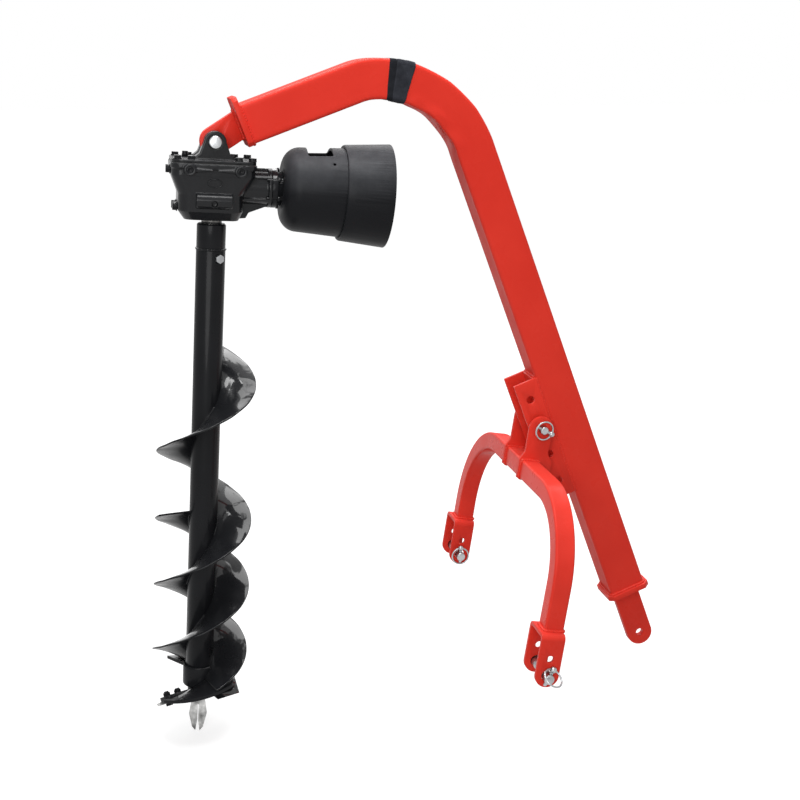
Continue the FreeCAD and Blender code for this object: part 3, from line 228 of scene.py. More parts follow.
def ring_faces(rings, count, closed=False):
    """Faces between rings of count points; an open row of rings gets a cap at each end."""
    faces = []
    for ring in range(rings if closed else rings - 1):
        base, up = ring * count, ((ring + 1) % rings) * count
        for step in range(count):
            after = (step + 1) % count
            faces.append((base + step, base + after, up + after, up + step))
    if not closed:
        faces.append(tuple(range(count)))
        faces.append(tuple((rings - 1) * count + step for step in range(count)))
    return faces


def settle(obj):
    """Apply the object's modifiers to its mesh."""
    evaluated = obj.evaluated_get(bpy.context.evaluated_depsgraph_get())
    mesh = bpy.data.meshes.new_from_object(evaluated)
    obj.modifiers.clear()
    obj.data = mesh


def weld_up(mesh):
    """Join the mesh's loose faces at their corners and merge the flat ones."""
    shape = bmesh.new()
    shape.from_mesh(mesh)
    bmesh.ops.remove_doubles(shape, verts=shape.verts, dist=2e-6)
    bmesh.ops.dissolve_limit(shape, angle_limit=math.radians(0.4), verts=shape.verts, edges=shape.edges)
    shape.to_mesh(mesh)
    shape.free()


def copy_of(node):
    """A welded-up copy of a CAD node's mesh."""
    mesh = frame["nodes"][node].data.copy()
    weld_up(mesh)
    for layer in list(mesh.attributes):
        if layer.name == "custom_normal":
            mesh.attributes.remove(layer)
    return placed(node + ".finish", mesh)


def parted(node, place, sides):
    """A CAD node's solids as objects of their own, told apart by sides(point just inside)."""
    source = frame["nodes"][node].data
    groups = {}
    for face in source.polygons:
        inside = place.inverted() @ (face.center - face.normal * 0.0004)
        groups.setdefault(sides(inside), []).append([source.vertices[v].co for v in face.vertices])
    parts = []
    for key, faces in groups.items():
        corners = [co for face in faces for co in face]
        order = iter(range(len(corners)))
        mesh = bpy.data.meshes.new(node)
        mesh.from_pydata(corners, [], [[next(order) for _ in face] for face in faces])
        weld_up(mesh)
        parts.append(placed(f"{node}.{key}", mesh))
    return parts


def joined(node, place, sides):
    """A CAD node whose touching solids are made one."""
    parts = parted(node, place, sides)
    whole = parts[0]
    whole.name = node + ".finish"
    for other in parts[1:]:
        both = whole.modifiers.new("join", "BOOLEAN")
        both.operation, both.solver, both.object = "UNION", "EXACT", other
    settle(whole)
    for other in parts[1:]:
        bpy.data.objects.remove(other)
    weld_up(whole.data)
    return whole


def bevelled(obj, width):
    """Round an object's sharp edges."""
    edge = obj.modifiers.new("edge", "BEVEL")
    edge.width = width
    edge.segments = 2
    edge.limit_method = "ANGLE"
    edge.angle_limit = math.radians(35.0)
    edge.use_clamp_overlap = False
    settle(obj)


def eased(node, width, smooth=32.0, slot=None, obj=None):
    """A CAD node with its sharp edges rounded."""
    obj = obj or copy_of(node)
    if width:
        bevelled(obj, width)
    return finish_piece(obj, BODIES[node], slot or SLOTS[node], smooth, node)


def cast(node, grid, rounds):
    """A CAD node with the rounded edges and fillets of a casting."""
    obj = copy_of(node)
    skin = obj.modifiers.new("skin", "REMESH")
    skin.mode = "VOXEL"
    skin.voxel_size = grid
    skin.use_smooth_shade = True
    soften = obj.modifiers.new("soften", "SMOOTH")
    soften.factor = 0.5
    soften.iterations = rounds
    settle(obj)
    return finish_piece(obj, BODIES[node], SLOTS[node], 60.0, node)


def rounded_square(half, corner, per_corner=5, per_side=7):
    """Points round a square with round corners."""
    points = []
    for quarter in range(4):
        for step in range(per_corner + 1):
            angle = math.radians(90 * (quarter + step / per_corner))
            cx = math.copysign(half - corner, math.cos(math.radians(90 * quarter + 45)))
            cy = math.copysign(half - corner, math.sin(math.radians(90 * quarter + 45)))
            points.append(Vector((cx + corner * math.cos(angle), cy + corner * math.sin(angle))))
        turn = math.radians(90 * (quarter + 1))
        start = points[-1]
        along = Vector((-math.sin(turn), math.cos(turn)))
        for step in range(1, per_side):
            points.append(start + along * (2 * (half - corner)) * step / per_side)
    return points


def walk(start, heading, legs, fine):
    """Stations along a flat path: (position, heading in radians, distance).

    legs holds (length, 0) for a straight and (radius, turn in degrees) for a bend.
    """
    at, heading, gone = Vector(start), math.radians(heading), 0.0
    stations = [(at.copy(), heading, gone)]
    for size, turn in legs:
        if not turn:
            steps = max(1, round(size / (fine * 4)))
            for _ in range(steps):
                at = at + Vector((math.cos(heading), math.sin(heading))) * (size / steps)
                gone += size / steps
                stations.append((at.copy(), heading, gone))
            continue
        whole = math.radians(turn)
        steps = max(2, round(abs(whole) * size / fine))
        side = math.copysign(1.0, turn)
        centre = at + Vector((-math.sin(heading), math.cos(heading))) * size * side
        for _ in range(steps):
            heading += whole / steps
            at = centre - Vector((-math.sin(heading), math.cos(heading))) * size * side
            gone += abs(whole) * size / steps
            stations.append((at.copy(), heading, gone))
    return stations


def sweep(name, stations, profile, place, form=None):
    """A closed tube of a flat profile along stations; form may push each point about."""
    vertices = []
    for at, heading, gone in stations:
        right = Vector((math.sin(heading), -math.cos(heading)))
        for across, out in profile:
            if form:
                across, out = form(gone, across, out)
            spot = at + right * out
            vertices.append(place(spot.x, spot.y, across))
    return piece(name, vertices, ring_faces(len(stations), len(profile)))


def bead(name, path, radius, body, slot, closed=False, around=8):
    """A weld: a low rope of overlapping ripples laid along a path."""
    points = [Vector(p) for p in path]
    if closed:
        points.append(points[0])
    spacing = radius * 0.34
    line = []
    for first, second in zip(points, points[1:]):
        steps = max(1, round((second - first).length / spacing))
        line += [first.lerp(second, step / steps) for step in range(steps)]
    if not closed:
        line.append(points[-1])
    count, vertices = len(line), []
    for index, at in enumerate(line):
        ahead = line[(index + 1) % count] if closed or index + 1 < count else at
        behind = line[index - 1] if closed or index else at
        along = (ahead - behind).normalized()
        upright = abs(along.z) > 0.9
        side = (along.orthogonal() if upright else along.cross(Vector((0, 0, 1)))).normalized()
        over = along.cross(side)
        wave = abs(math.sin(index * 0.62))
        size = radius * (0.86 + 0.16 * wave + 0.14 * noise.noise(at * 160.0))
        if not closed:
            size *= min(1.0, 0.35 + 0.2 * min(index, count - 1 - index))
        drift = (side + over) * radius * 0.12 * noise.noise(at * 60.0)
        for step in range(around):
            angle = 2 * math.pi * step / around
            vertices.append(at + drift + side * size * math.cos(angle) + over * size * math.sin(angle))
    return finish_piece(piece(name, vertices, ring_faces(count, around, closed)), body, slot, 70.0)


def square_loop(place, half, corner):
    """A square path with round corners, flat in a place's own plane."""
    return [place @ Vector((p.x, p.y, 0)) for p in rounded_square(half, corner, 3, 2)]


def circle_loop(place, radius, level=0.0, steps=48):
    """A round path about a place's own axis."""
    return [place @ Vector((radius * math.cos(2 * math.pi * step / steps),
                            radius * math.sin(2 * math.pi * step / steps), level)) for step in range(steps)]


# ---- materials ---------------------------------------------------------------------------------
class Graph:
    """Adds nodes to a tree: inputs may be sockets or plain values."""

    def __init__(self, tree):
        self.tree = tree

    def feed(self, socket, value):
        """Link an input to a socket, or set it to a plain value."""
        if isinstance(value, bpy.types.NodeSocket):
            self.tree.links.new(value, socket)
        else:
            socket.default_value = value

    def add(self, kind, inputs=None, **traits):
        """Add a node, with its inputs fed and its traits set."""
        node = self.tree.nodes.new(kind)
        for key, value in traits.items():
            setattr(node, key, value)
        for key, value in (inputs or {}).items():
            self.feed(node.inputs[key], value)
        return node

    def use(self, group, **inputs):
        """Place a node group; underscores in a name stand for spaces."""
        node = self.tree.nodes.new("ShaderNodeGroup")
        node.node_tree = group
        for key, value in inputs.items():
            self.feed(node.inputs[key.replace("_", " ")], value)
        return node

    def math(self, operation, first, second=0.5, clamp=False):
        node = self.add("ShaderNodeMath", {0: first, 1: second}, operation=operation, use_clamp=clamp)
        return node.outputs[0]

    def between(self, factor, first, second):
        """A colour from the first to the second."""
        node = self.add("ShaderNodeMix", {0: factor, 6: first, 7: second}, data_type="RGBA")
        return node.outputs[2]


def effect(name, inputs, outputs, fill):
    """A shader node group with named sockets."""
    group = bpy.data.node_groups.get(name)
    if group:
        return group
    group = bpy.data.node_groups.new(name, "ShaderNodeTree")
    for label, kind, default in inputs:
        socket = group.interface.new_socket(label, in_out="INPUT", socket_type=kind)
        if default is not None:
            socket.default_value = default
    for label, kind in outputs:
        group.interface.new_socket(label, in_out="OUTPUT", socket_type=kind)
    graph = Graph(group)
    entry, leave = graph.add("NodeGroupInput"), graph.add("NodeGroupOutput")
    for label, socket in fill(graph, entry.outputs).items():
        group.links.new(socket, leave.inputs[label])
    return group


REAL, VECTOR = "NodeSocketFloat", "NodeSocketVector"


def mottle():
    """Soft patches: a value between Low and High."""
    def fill(graph, inputs):
        place = graph.add("ShaderNodeTexCoord").outputs["Object"]
        patch = graph.add("ShaderNodeTexNoise", {"Vector": place, "Scale": inputs["Scale"], "Detail": 4.0,
                                                 "Roughness": 0.55})
        spread = graph.add("ShaderNodeMapRange", {"Value": patch.outputs["Fac"], "From Min": 0.32,
                                                  "From Max": 0.68, "To Min": inputs["Low"],
                                                  "To Max": inputs["High"]})
        return {"Value": spread.outputs["Result"]}
    return effect("Mottle", (("Scale", REAL, 8.0), ("Low", REAL, 0.0), ("High", REAL, 1.0)),
                  (("Value", REAL),), fill)


def skin():
    """Fine unevenness of a coating: a bumped normal."""
    def fill(graph, inputs):
        place = graph.add("ShaderNodeTexCoord").outputs["Object"]
        fine = graph.add("ShaderNodeTexNoise", {"Vector": place, "Scale": inputs["Scale"], "Detail": 2.0})
        broad = graph.add("ShaderNodeTexNoise", {"Vector": place, "Scale": 9.0, "Detail": 1.0})
        sag = graph.math("MULTIPLY", broad.outputs["Fac"], inputs["Sag"])
        height = graph.math("ADD", fine.outputs["Fac"], sag)
        bump = graph.add("ShaderNodeBump", {"Strength": inputs["Strength"], "Distance": inputs["Depth"],
                                            "Height": height})
        return {"Normal": bump.outputs["Normal"]}
    return effect("Skin", (("Scale", REAL, 300.0), ("Sag", REAL, 4.0), ("Strength", REAL, 0.3),
                           ("Depth", REAL, 0.0002)), (("Normal", VECTOR),), fill)


def edge_wear_and_highlight_group():
    """A paler colour on exposed edges, broken up by noise: wear from handling, and a painted highlight along
    the edges.
    """
    def fill(graph, inputs):
        point = graph.add("ShaderNodeNewGeometry").outputs["Pointiness"]
        place = graph.add("ShaderNodeTexCoord").outputs["Object"]
        edge = graph.add("ShaderNodeMapRange", {"Value": point, "From Min": inputs["Edge"],
                                                "From Max": graph.math("ADD", inputs["Edge"], 0.07)})
        patch = graph.add("ShaderNodeTexNoise", {"Vector": place, "Scale": 70.0, "Detail": 5.0})
        broken = graph.math("GREATER_THAN", patch.outputs["Fac"], 0.52)
        both = graph.math("MULTIPLY", edge.outputs["Result"], broken)
        return {"Mask": graph.math("MULTIPLY", both, inputs["Amount"], True)}
    return effect("Rubbed edge", (("Edge", REAL, 0.56), ("Amount", REAL, 0.4)), (("Mask", REAL),), fill)


def dust_and_sheen_group():
    """Dust on faces turned up, which also serves as a painted sheen: a paler colour on the tops, where the
    light falls.
    """
    def fill(graph, inputs):
        normal = graph.add("ShaderNodeNewGeometry").outputs["Normal"]
        up = graph.add("ShaderNodeSeparateXYZ", {"Vector": normal}).outputs["Z"]
        place = graph.add("ShaderNodeTexCoord").outputs["Object"]
        patch = graph.add("ShaderNodeTexNoise", {"Vector": place, "Scale": 14.0, "Detail": 6.0,
                                                 "Roughness": 0.65})
        dust_and_sheen_mask = graph.math("MULTIPLY", graph.math("MAXIMUM", up, 0.0), patch.outputs["Fac"])
        return {"Mask": graph.math("MULTIPLY", dust_and_sheen_mask, inputs["Amount"], True)}
    return effect("Dust", (("Amount", REAL, 0.1),), (("Mask", REAL),), fill)


def pooled():
    """Patches on upward faces where the enamel ran thick and set like glass."""
    def fill(graph, inputs):
        normal = graph.add("ShaderNodeNewGeometry").outputs["Normal"]
        up = graph.add("ShaderNodeSeparateXYZ", {"Vector": normal}).outputs["Z"]
        place = graph.add("ShaderNodeTexCoord").outputs["Object"]
        patch = graph.add("ShaderNodeTexNoise", {"Vector": place, "Scale": inputs["Scale"], "Detail": 3.0,
                                                 "Roughness": 0.5, "Distortion": 0.8})
        shape = graph.add("ShaderNodeMapRange", {"Value": patch.outputs["Fac"], "From Min": 0.43,
                                                 "From Max": 0.50})
        facing = graph.add("ShaderNodeMapRange", {"Value": up, "From Min": 0.35, "From Max": 0.7})
        both = graph.math("MULTIPLY", shape.outputs["Result"], facing.outputs["Result"])
        return {"Mask": graph.math("MULTIPLY", both, inputs["Amount"], True)}
    return effect("Pooled", (("Scale", REAL, 22.0), ("Amount", REAL, 1.0)), (("Mask", REAL),), fill)


def grain():
    """Drawn or ground lines running one way."""
    def fill(graph, inputs):
        place = graph.add("ShaderNodeTexCoord").outputs["Object"]
        drawn = graph.add("ShaderNodeMapping", {"Vector": place, "Scale": inputs["Stretch"]})
        lines = graph.add("ShaderNodeTexNoise", {"Vector": drawn.outputs["Vector"], "Scale": 1.0,
                                                 "Detail": 3.0})
        bump = graph.add("ShaderNodeBump", {"Strength": inputs["Strength"], "Distance": 0.0002,
                                            "Height": lines.outputs["Fac"]})
        return {"Value": lines.outputs["Fac"], "Normal": bump.outputs["Normal"]}
    return effect("Grain", (("Stretch", VECTOR, (60.0, 60.0, 900.0)), ("Strength", REAL, 0.3)),
                  (("Value", REAL), ("Normal", VECTOR)), fill)


def opaque(colour):
    """A colour as a shader socket takes it."""
    return (*colour, 1.0)


def coating(shader, graph, colour, thin, rough, scale, peel, edge_wear_and_highlight, dust_and_sheen, graze=0.0):
    """Paint: patchy colour and gloss, a peel, paler edges that are partly wear and partly a painted
    highlight, and a little dust that is partly a painted sheen on faces turned up; graze dulls it at low
    angles.

    peel holds the scale, sag, strength and depth of the skin; edge_wear_and_highlight holds how much and to
    what colour.
    """
    colours = settings().colours
    patch = graph.use(mottle(), Scale=scale).outputs["Value"]
    base = graph.between(patch, opaque(thin), opaque(colour))
    # paler exposed edges: partly wear, partly a painted highlight along the edges
    worn = graph.use(edge_wear_and_highlight_group(), Amount=edge_wear_and_highlight[0]).outputs["Mask"]
    base = graph.between(worn, base, opaque(edge_wear_and_highlight[1]))
    # dust on faces turned up, which also paints in the sheen of light on the tops
    dust_and_sheen_mask = graph.use(dust_and_sheen_group(), Amount=dust_and_sheen).outputs["Mask"]
    base = graph.between(dust_and_sheen_mask, base, opaque(colours.dust_and_sheen))
    gloss = graph.use(mottle(), Scale=scale * 3, Low=rough[0], High=rough[1]).outputs["Value"]
    gloss = graph.math("ADD", gloss, graph.math("MULTIPLY", dust_and_sheen_mask, 0.5), True)
    if graze:
        low_angle = graph.add("ShaderNodeLayerWeight", {"Blend": 0.5}).outputs["Facing"]
        dull = graph.add("ShaderNodeMapRange", {"Value": low_angle, "From Min": 0.70, "From Max": 0.92,
                                                "To Max": graze}).outputs["Result"]
        gloss = graph.math("ADD", gloss, dull, True)
    uneven = graph.use(skin(), Scale=peel[0], Sag=peel[1], Strength=peel[2], Depth=peel[3])
    graph.feed(shader.inputs["Base Color"], base)
    graph.feed(shader.inputs["Roughness"], gloss)
    graph.feed(shader.inputs["Normal"], uneven.outputs["Normal"])


def metal(shader, graph, colour, dull, rough, stretch, strength):
    """Bare or plated metal with drawn lines and dull patches."""
    patch = graph.use(mottle(), Scale=38.0).outputs["Value"]
    lines = graph.use(grain(), Stretch=stretch, Strength=strength)
    base = graph.between(patch, opaque(dull), opaque(colour))
    gloss = graph.add("ShaderNodeMapRange", {"Value": lines.outputs["Value"], "From Min": 0.3,
                                             "From Max": 0.7, "To Min": rough[0], "To Max": rough[1]})
    graph.feed(shader.inputs["Base Color"], base)
    graph.feed(shader.inputs["Roughness"], gloss.outputs["Result"])
    graph.feed(shader.inputs["Normal"], lines.outputs["Normal"])
    shader.inputs["Metallic"].default_value = 1.0


def cloth(shader, graph, colour):
    """Woven tape with a dull film over it."""
    place = graph.add("ShaderNodeTexCoord").outputs["Object"]
    heights = []
    for direction in ("X", "Y", "Z"):
        wave = graph.add("ShaderNodeTexWave", {"Vector": place, "Scale": 260.0, "Distortion": 1.5,
                                               "Detail": 1.0}, bands_direction=direction)
        heights.append(wave.outputs["Fac"])
    height = graph.math("ADD", graph.math("ADD", heights[0], heights[1]), heights[2])
    patch = graph.use(mottle(), Scale=55.0).outputs["Value"]
    pale = [min(1.0, c * 1.7) for c in colour]
    base = graph.between(patch, opaque(colour), opaque(pale))
    bump = graph.add("ShaderNodeBump", {"Strength": 0.35, "Distance": 0.0003, "Height": height})
    graph.feed(shader.inputs["Base Color"], base)
    graph.feed(shader.inputs["Normal"], bump.outputs["Normal"])
    shader.inputs["Roughness"].default_value = 0.72
    shader.inputs["IOR"].default_value = 1.10


def clear_film(shader, ior, coat, rough):
    """The resin over the pigment: how strongly it reflects, and the glaze on top."""
    shader.inputs["IOR"].default_value = ior
    shader.inputs["Coat Weight"].default_value = coat
    shader.inputs["Coat Roughness"].default_value = rough


def toned(colour, times):
    """A colour made that many times as bright."""
    return [channel * times for channel in colour]


def red_paint(shader, graph, colours):
    """Gloss enamel, pale pink along the edges: partly worn paint, partly a painted highlight."""
    coating(shader, graph, colours.red, colours.red_deep, rough=(0.24, 0.34), scale=5.0,
            peel=(420.0, 5.0, 0.22, 0.0002), edge_wear_and_highlight=(0.30, (0.80, 0.22, 0.16)), dust_and_sheen=0.05, graze=0.55)
    clear_film(shader, ior=1.16, coat=0.03, rough=0.10)


def black_paint(shader, graph, colours):
    """Enamel with glassy patches where it ran thick."""
    coating(shader, graph, colours.black, toned(colours.black, 1.5), rough=(0.24, 0.38), scale=7.0,
            peel=(380.0, 4.0, 0.25, 0.0002), edge_wear_and_highlight=(0.25, (0.10, 0.10, 0.10)), dust_and_sheen=0.02)
    clear_film(shader, ior=1.16, coat=0.08, rough=0.06)
    pool = graph.use(pooled(), Scale=22.0, Amount=0.9).outputs["Mask"]
    graph.feed(shader.inputs["Coat Weight"], graph.math("ADD", pool, 0.08))


def black_casting(shader, graph, colours):
    """Enamel over sand-cast iron, with the sand's roughness showing through."""
    coating(shader, graph, colours.casting, toned(colours.casting, 1.6), rough=(0.26, 0.42), scale=9.0,
            peel=(240.0, 6.0, 0.55, 0.0006), edge_wear_and_highlight=(0.30, (0.09, 0.09, 0.09)), dust_and_sheen=0.03)
    clear_film(shader, ior=1.16, coat=0.27, rough=0.12)


def shield_plastic(shader, graph, colours):
    """Moulded plastic with a satin face; its dust on faces turned up is mostly a painted sheen, the paler
    band where light falls on the top.
    """
    coating(shader, graph, colours.plastic, toned(colours.plastic, 1.25), rough=(0.40, 0.50), scale=6.0,
            peel=(700.0, 3.0, 0.15, 0.0001), edge_wear_and_highlight=(0.2, (0.05, 0.05, 0.05)), dust_and_sheen=0.34)
    clear_film(shader, ior=1.10, coat=0.13, rough=0.42)


def seal_rubber(shader, graph, colours):
    coating(shader, graph, (0.02, 0.02, 0.02), (0.03, 0.03, 0.03), rough=(0.6, 0.75), scale=20.0,
            peel=(500.0, 2.0, 0.3, 0.0002), edge_wear_and_highlight=(0.1, (0.06, 0.06, 0.06)), dust_and_sheen=0.05)


# two copies of the same tape cloth, one darker and one lighter
def fresh_tape(shader, graph, colours):
    cloth(shader, graph, toned(colours.tape, 0.7))


def lighter_tape(shader, graph, colours):
    cloth(shader, graph, toned(colours.tape, 1.25))


def zinc_plate(shader, graph, colours):
    """Bright plating, drawn round the pins."""
    metal(shader, graph, colours.zinc, toned(colours.zinc, 0.72), rough=(0.22, 0.38),
          stretch=(50.0, 700.0, 50.0), strength=0.12)


def tool_steel(shader, graph, colours):
    """Ground steel with dark scale left between the ground patches."""
    metal(shader, graph, colours.steel, toned(colours.steel, 0.16), rough=(0.28, 0.46),
          stretch=(700.0, 60.0, 60.0), strength=0.5)


def gear_steel(shader, graph, colours):
    """Oiled, cut steel."""
    metal(shader, graph, (0.20, 0.195, 0.19), (0.13, 0.127, 0.12), rough=(0.26, 0.40),
          stretch=(60.0, 60.0, 600.0), strength=0.2)


def bearing_steel(shader, graph, colours):
    """Polished rings and rollers."""
    metal(shader, graph, (0.74, 0.74, 0.73), (0.60, 0.60, 0.59), rough=(0.12, 0.22),
          stretch=(80.0, 80.0, 500.0), strength=0.08)


FINISHES = {
    "red_paint": red_paint, "black_paint": black_paint, "black_casting": black_casting,
    "shield_plastic": shield_plastic, "seal_rubber": seal_rubber, "tape": lighter_tape,
    "fresh_tape": fresh_tape, "zinc_plate": zinc_plate, "tool_steel": tool_steel,
    "gear_steel": gear_steel, "bearing_steel": bearing_steel,
}


def material(finish):
    """The material of one finish, made once."""
    name = "finish." + finish
    made = bpy.data.materials.get(name)
    if not made:
        made = bpy.data.materials.new(name)
        made.use_nodes = True
        shader = made.node_tree.nodes["Principled BSDF"]
        FINISHES[finish](shader, Graph(made.node_tree), settings().colours)
    return made


# ---- the boom ----------------------------------------------------------------------------------
def in_boom_plane(x, z, across):
    """A point of the middle plane, moved crosswise."""
    return Vector((x, across, z))


def boom_legs():
    """The straights and bends of the boom's centre line, from the foot plate up, as walk takes them."""
    half = math.radians(90.0 - BOOM_LEAN) / 2
    reach = BEND_R * math.tan(half)
    tip_reach = TIP_BEND_R * math.tan(math.radians(TIP_DROP) / 2)
    corner_x = -LEVEL_Z * math.tan(math.radians(BOOM_LEAN))
    straight = LEVEL_Z / math.cos(math.radians(BOOM_LEAN)) - reach - FOOT_START
    level = (corner_x - reach) - (TIP_CORNER_X + tip_reach)
    return [(straight, 0), (BEND_R, 90.0 - BOOM_LEAN), (level, 0), (TIP_BEND_R, TIP_DROP),
            (TIP_LENGTH - tip_reach, 0)]


def boom_start():
    """The middle of the tube's lower end, x and z."""
    lean = math.radians(BOOM_LEAN)
    return Vector((-math.sin(lean), math.cos(lean))) * FOOT_START


def build_boom():
    forms = settings().forms
    legs = boom_legs()
    bend_from, bend_to = legs[0][0], legs[0][0] + BEND_R * math.radians(legs[1][1])

    def crushed(gone, across, out):
        """The inner wall buckles in as the tube is bent; the outer one pulls flat in places."""
        turned_by = (gone - bend_from) / (bend_to - bend_from)
        if not -0.12 < turned_by < 1.12:
            return across, out
        swell = max(0.0, math.sin(math.pi * min(1.0, max(0.0, (turned_by + 0.12) / 1.24)))) ** 0.8
        bare = min(1.0, max(0.0, (0.72 - turned_by) / 0.08))    # the walls stay plain under the tape
        inward = max(0.0, -out / BOOM_HALF)
        middle = 1.0 - min(1.0, abs(across) / (BOOM_HALF * 0.93)) ** 2.4
        fold = 0.72 + 0.28 * math.sin(turned_by * 24.0 + 1.2 * math.sin(across * 60.0))
        rough = noise.noise(Vector((gone * 34.0, across * 30.0, 2.0)))
        if inward > 0.8:
            out += forms.crush * swell * max(0.0, middle) * (fold + 0.35 * rough)
            out += forms.crush * 0.16 * bare * swell * math.sin(turned_by * 17.0)
        if inward > 0.5:
            across += math.copysign(0.0014 * bare * swell * (1 + 0.8 * math.sin(turned_by * 19.0)), across)
        if out > BOOM_HALF * 0.6:
            out -= forms.flat * swell * abs(math.sin(turned_by * math.pi * 4.0))
        return across, out

    tube = sweep("boom_tube.finish", walk(boom_start(), 90.0 + BOOM_LEAN, legs, 0.005),
                 rounded_square(BOOM_HALF, BOOM_CORNER, 6, 12), in_boom_plane, crushed)
    finish_piece(tube, "boom", "red_paint", 50.0, "boom_tube")
    for node in ("boom_tip_plate", "boom_tip_tongue", "boom_foot_plate", "boom_foot_tongue"):
        eased(node, forms.plate_edge)
    web = -BOOM_HALF - BRACKET_T
    channel = joined("yoke_bracket", BOOM, lambda point: 0 if point.x > web else math.copysign(1, point.y))
    eased("yoke_bracket", forms.plate_edge, obj=channel)
    weld_boom(forms.weld_radius)
    build_tape()


def weld_boom(weld):
    """The seams at the end plates, the tongues and the bracket."""
    standing = Matrix.Rotation(math.radians(90), 4, "Y")
    tip = TIP @ Matrix.Translation((0.0012, 0, 0)) @ standing
    foot = BOOM @ Matrix.Translation((0, 0, FOOT_START + 0.0012))
    for label, place in (("tip", tip), ("foot", foot)):
        seam = square_loop(place, BOOM_HALF + 0.0008, BOOM_CORNER)
        bead(f"weld.{label}_plate", seam, weld, "boom", "red_paint", True)
    under = FOOT_START - END_PLATE - 0.0008
    wide, thick = FOOT_TONGUE
    seam = [BOOM @ Vector((x * wide, y * thick, under)) for x, y in CORNERS]
    bead("weld.foot_tongue", seam, weld * 1.1, "boom", "red_paint", True)
    bead("weld.tip_tongue", tongue_loop(), weld * 1.1, "boom", "red_paint", True)
    top, bottom = BRACKET_TOP, BRACKET_TOP - BRACKET_LENGTH
    for label, side in NEAR_AND_FAR:
        seam = [BOOM @ Vector((-BOOM_HALF + 0.0018, side * (BOOM_HALF - 0.0022), z)) for z in (bottom, top)]
        bead("weld.bracket_" + label, seam, weld * 0.95, "boom", "red_paint")
    for label, z in (("top", top + 0.0006), ("bottom", bottom - 0.0006)):
        seam = [BOOM @ Vector((-BOOM_HALF - 0.0004, y, z)) for y in (-0.040, 0.040)]
        bead("weld.bracket_" + label, seam, weld, "boom", "red_paint")


def tongue_loop():
    """Where the tongue's four edges meet the tip plate."""
    plane, loop = TIP.inverted(), []
    wide, thick = TIP_TONGUE
    for y, z in CORNERS:
        edge = [plane @ TONGUE @ Vector((x, y * thick * 1.06, z * wide * 1.03)) for x in (0.0, 0.2)]
        where = (-0.0135 - edge[0].x) / (edge[1].x - edge[0].x)
        loop.append(TIP @ edge[0].lerp(edge[1], where))
    return loop


def build_tape():
    """Three overlapping turns of tape, the last one askew."""
    layer = settings().forms.tape_layer
    reach = BEND_R * math.tan(math.radians(90.0 - BOOM_LEAN) / 2)
    corner_x = -LEVEL_Z * math.tan(math.radians(BOOM_LEAN))
    turns_of_tape = (("lower", 4.9, 12.6, 0.0, 1.0), ("upper", 9.4, 17.9, 1.1, 2.0),
                     ("loose", 12.2, 15.6, -1.6, 2.9))
    for label, first, last, skew, layers in turns_of_tape:
        thick = layer * layers
        profile = rounded_square(BOOM_HALF + thick, BOOM_CORNER + thick, 6, 10)
        rows, vertices = 14, []
        for row in range(rows + 1):
            lift = -0.75 * thick if row in (0, rows) else 0.0
            for across, out in profile:
                skewed = skew * (across / BOOM_HALF)
                skewed += 0.25 * noise.noise(Vector((across * 40, out * 40, layers)))
                angle = math.radians(first + (last - first) * row / rows + skewed)
                radial = BEND_R + out + lift * out / BOOM_HALF
                radial += 0.00025 * noise.noise(Vector((across * 90, angle * 40, out * 90)))
                vertices.append(Vector((corner_x - reach + radial * math.sin(angle),
                                        across + lift * across / BOOM_HALF,
                                        LEVEL_Z - BEND_R + radial * math.cos(angle))))
        wrap = piece("boom_wrap." + label, vertices, ring_faces(rows + 1, len(profile)))
        # the lowest turn takes the darker copy of the tape, the upper two the lighter one
        lowest = label == "lower"
        finish_piece(wrap, "boom", "tape", 55.0, "boom_wrap" if lowest else None,
                     "fresh_tape" if lowest else None)


# ---- the yoke ----------------------------------------------------------------------------------
def build_leg(label, side):
    """One leg: from the ear outwards, round the bend and down to its clevis."""
    radius = LEG_BEND[label]
    straight = LEG_MIDDLE - radius - EAR_OUT

    def in_leg_plane(out, up, across):
        return YOKE @ Vector((LEG_OFF + across, side * out, up))

    def flattened(gone, across, out):
        """The bend's sides pull in a little and its inner wall flattens."""
        turned_by = (gone - straight) / (radius * math.pi / 2)
        swell = math.sin(math.pi * turned_by) if 0 < turned_by < 1 else 0.0
        if out > 0.5 * LEG_HALF:
            out -= 0.0010 * swell
        if out < -0.5 * LEG_HALF:
            out += 0.0016 * swell * (1 - (across / LEG_HALF) ** 2) * (1 + 0.4 * math.sin(turned_by * 30))
        return across * (1 + 0.018 * swell * (-out / LEG_HALF)), out

    legs = [(straight, 0), (radius, -90.0), (CROWN_Z - radius - CLEVIS_TOP, 0)]
    stations = walk((EAR_OUT, CROWN_Z), 0.0, legs, 0.006)
    profile = [Vector((p.x, -p.y)) for p in rounded_square(LEG_HALF, LEG_CORNER, 5, 6)]
    leg = sweep(f"yoke_leg_{label}.finish", stations, profile, in_leg_plane, flattened)
    finish_piece(leg, "yoke", "red_paint", 50.0, "yoke_leg_" + label)


def weld_leg(label, side):
    """The seams round one leg: at both faces of its ear and at its clevis."""
    facing = Matrix.Rotation(math.radians(90), 4, "X")
    outer = Matrix.Translation((LEG_OFF, side * (EAR_OUT + 0.001), CROWN_Z)) @ facing
    inner = Matrix.Translation((LEG_OFF, side * (EAR_IN - 0.001), CROWN_Z)) @ facing
    foot = Matrix.Translation((LEG_OFF, side * LEG_MIDDLE, CLEVIS_TOP + 0.001))
    for name, place in (("ear_out", outer), ("ear_in", inner), ("clevis", foot)):
        seam = square_loop(YOKE @ place, LEG_HALF + 0.0008, LEG_CORNER)
        bead(f"weld.{name}_{label}", seam, settings().forms.weld_radius, "yoke", "red_paint", True)


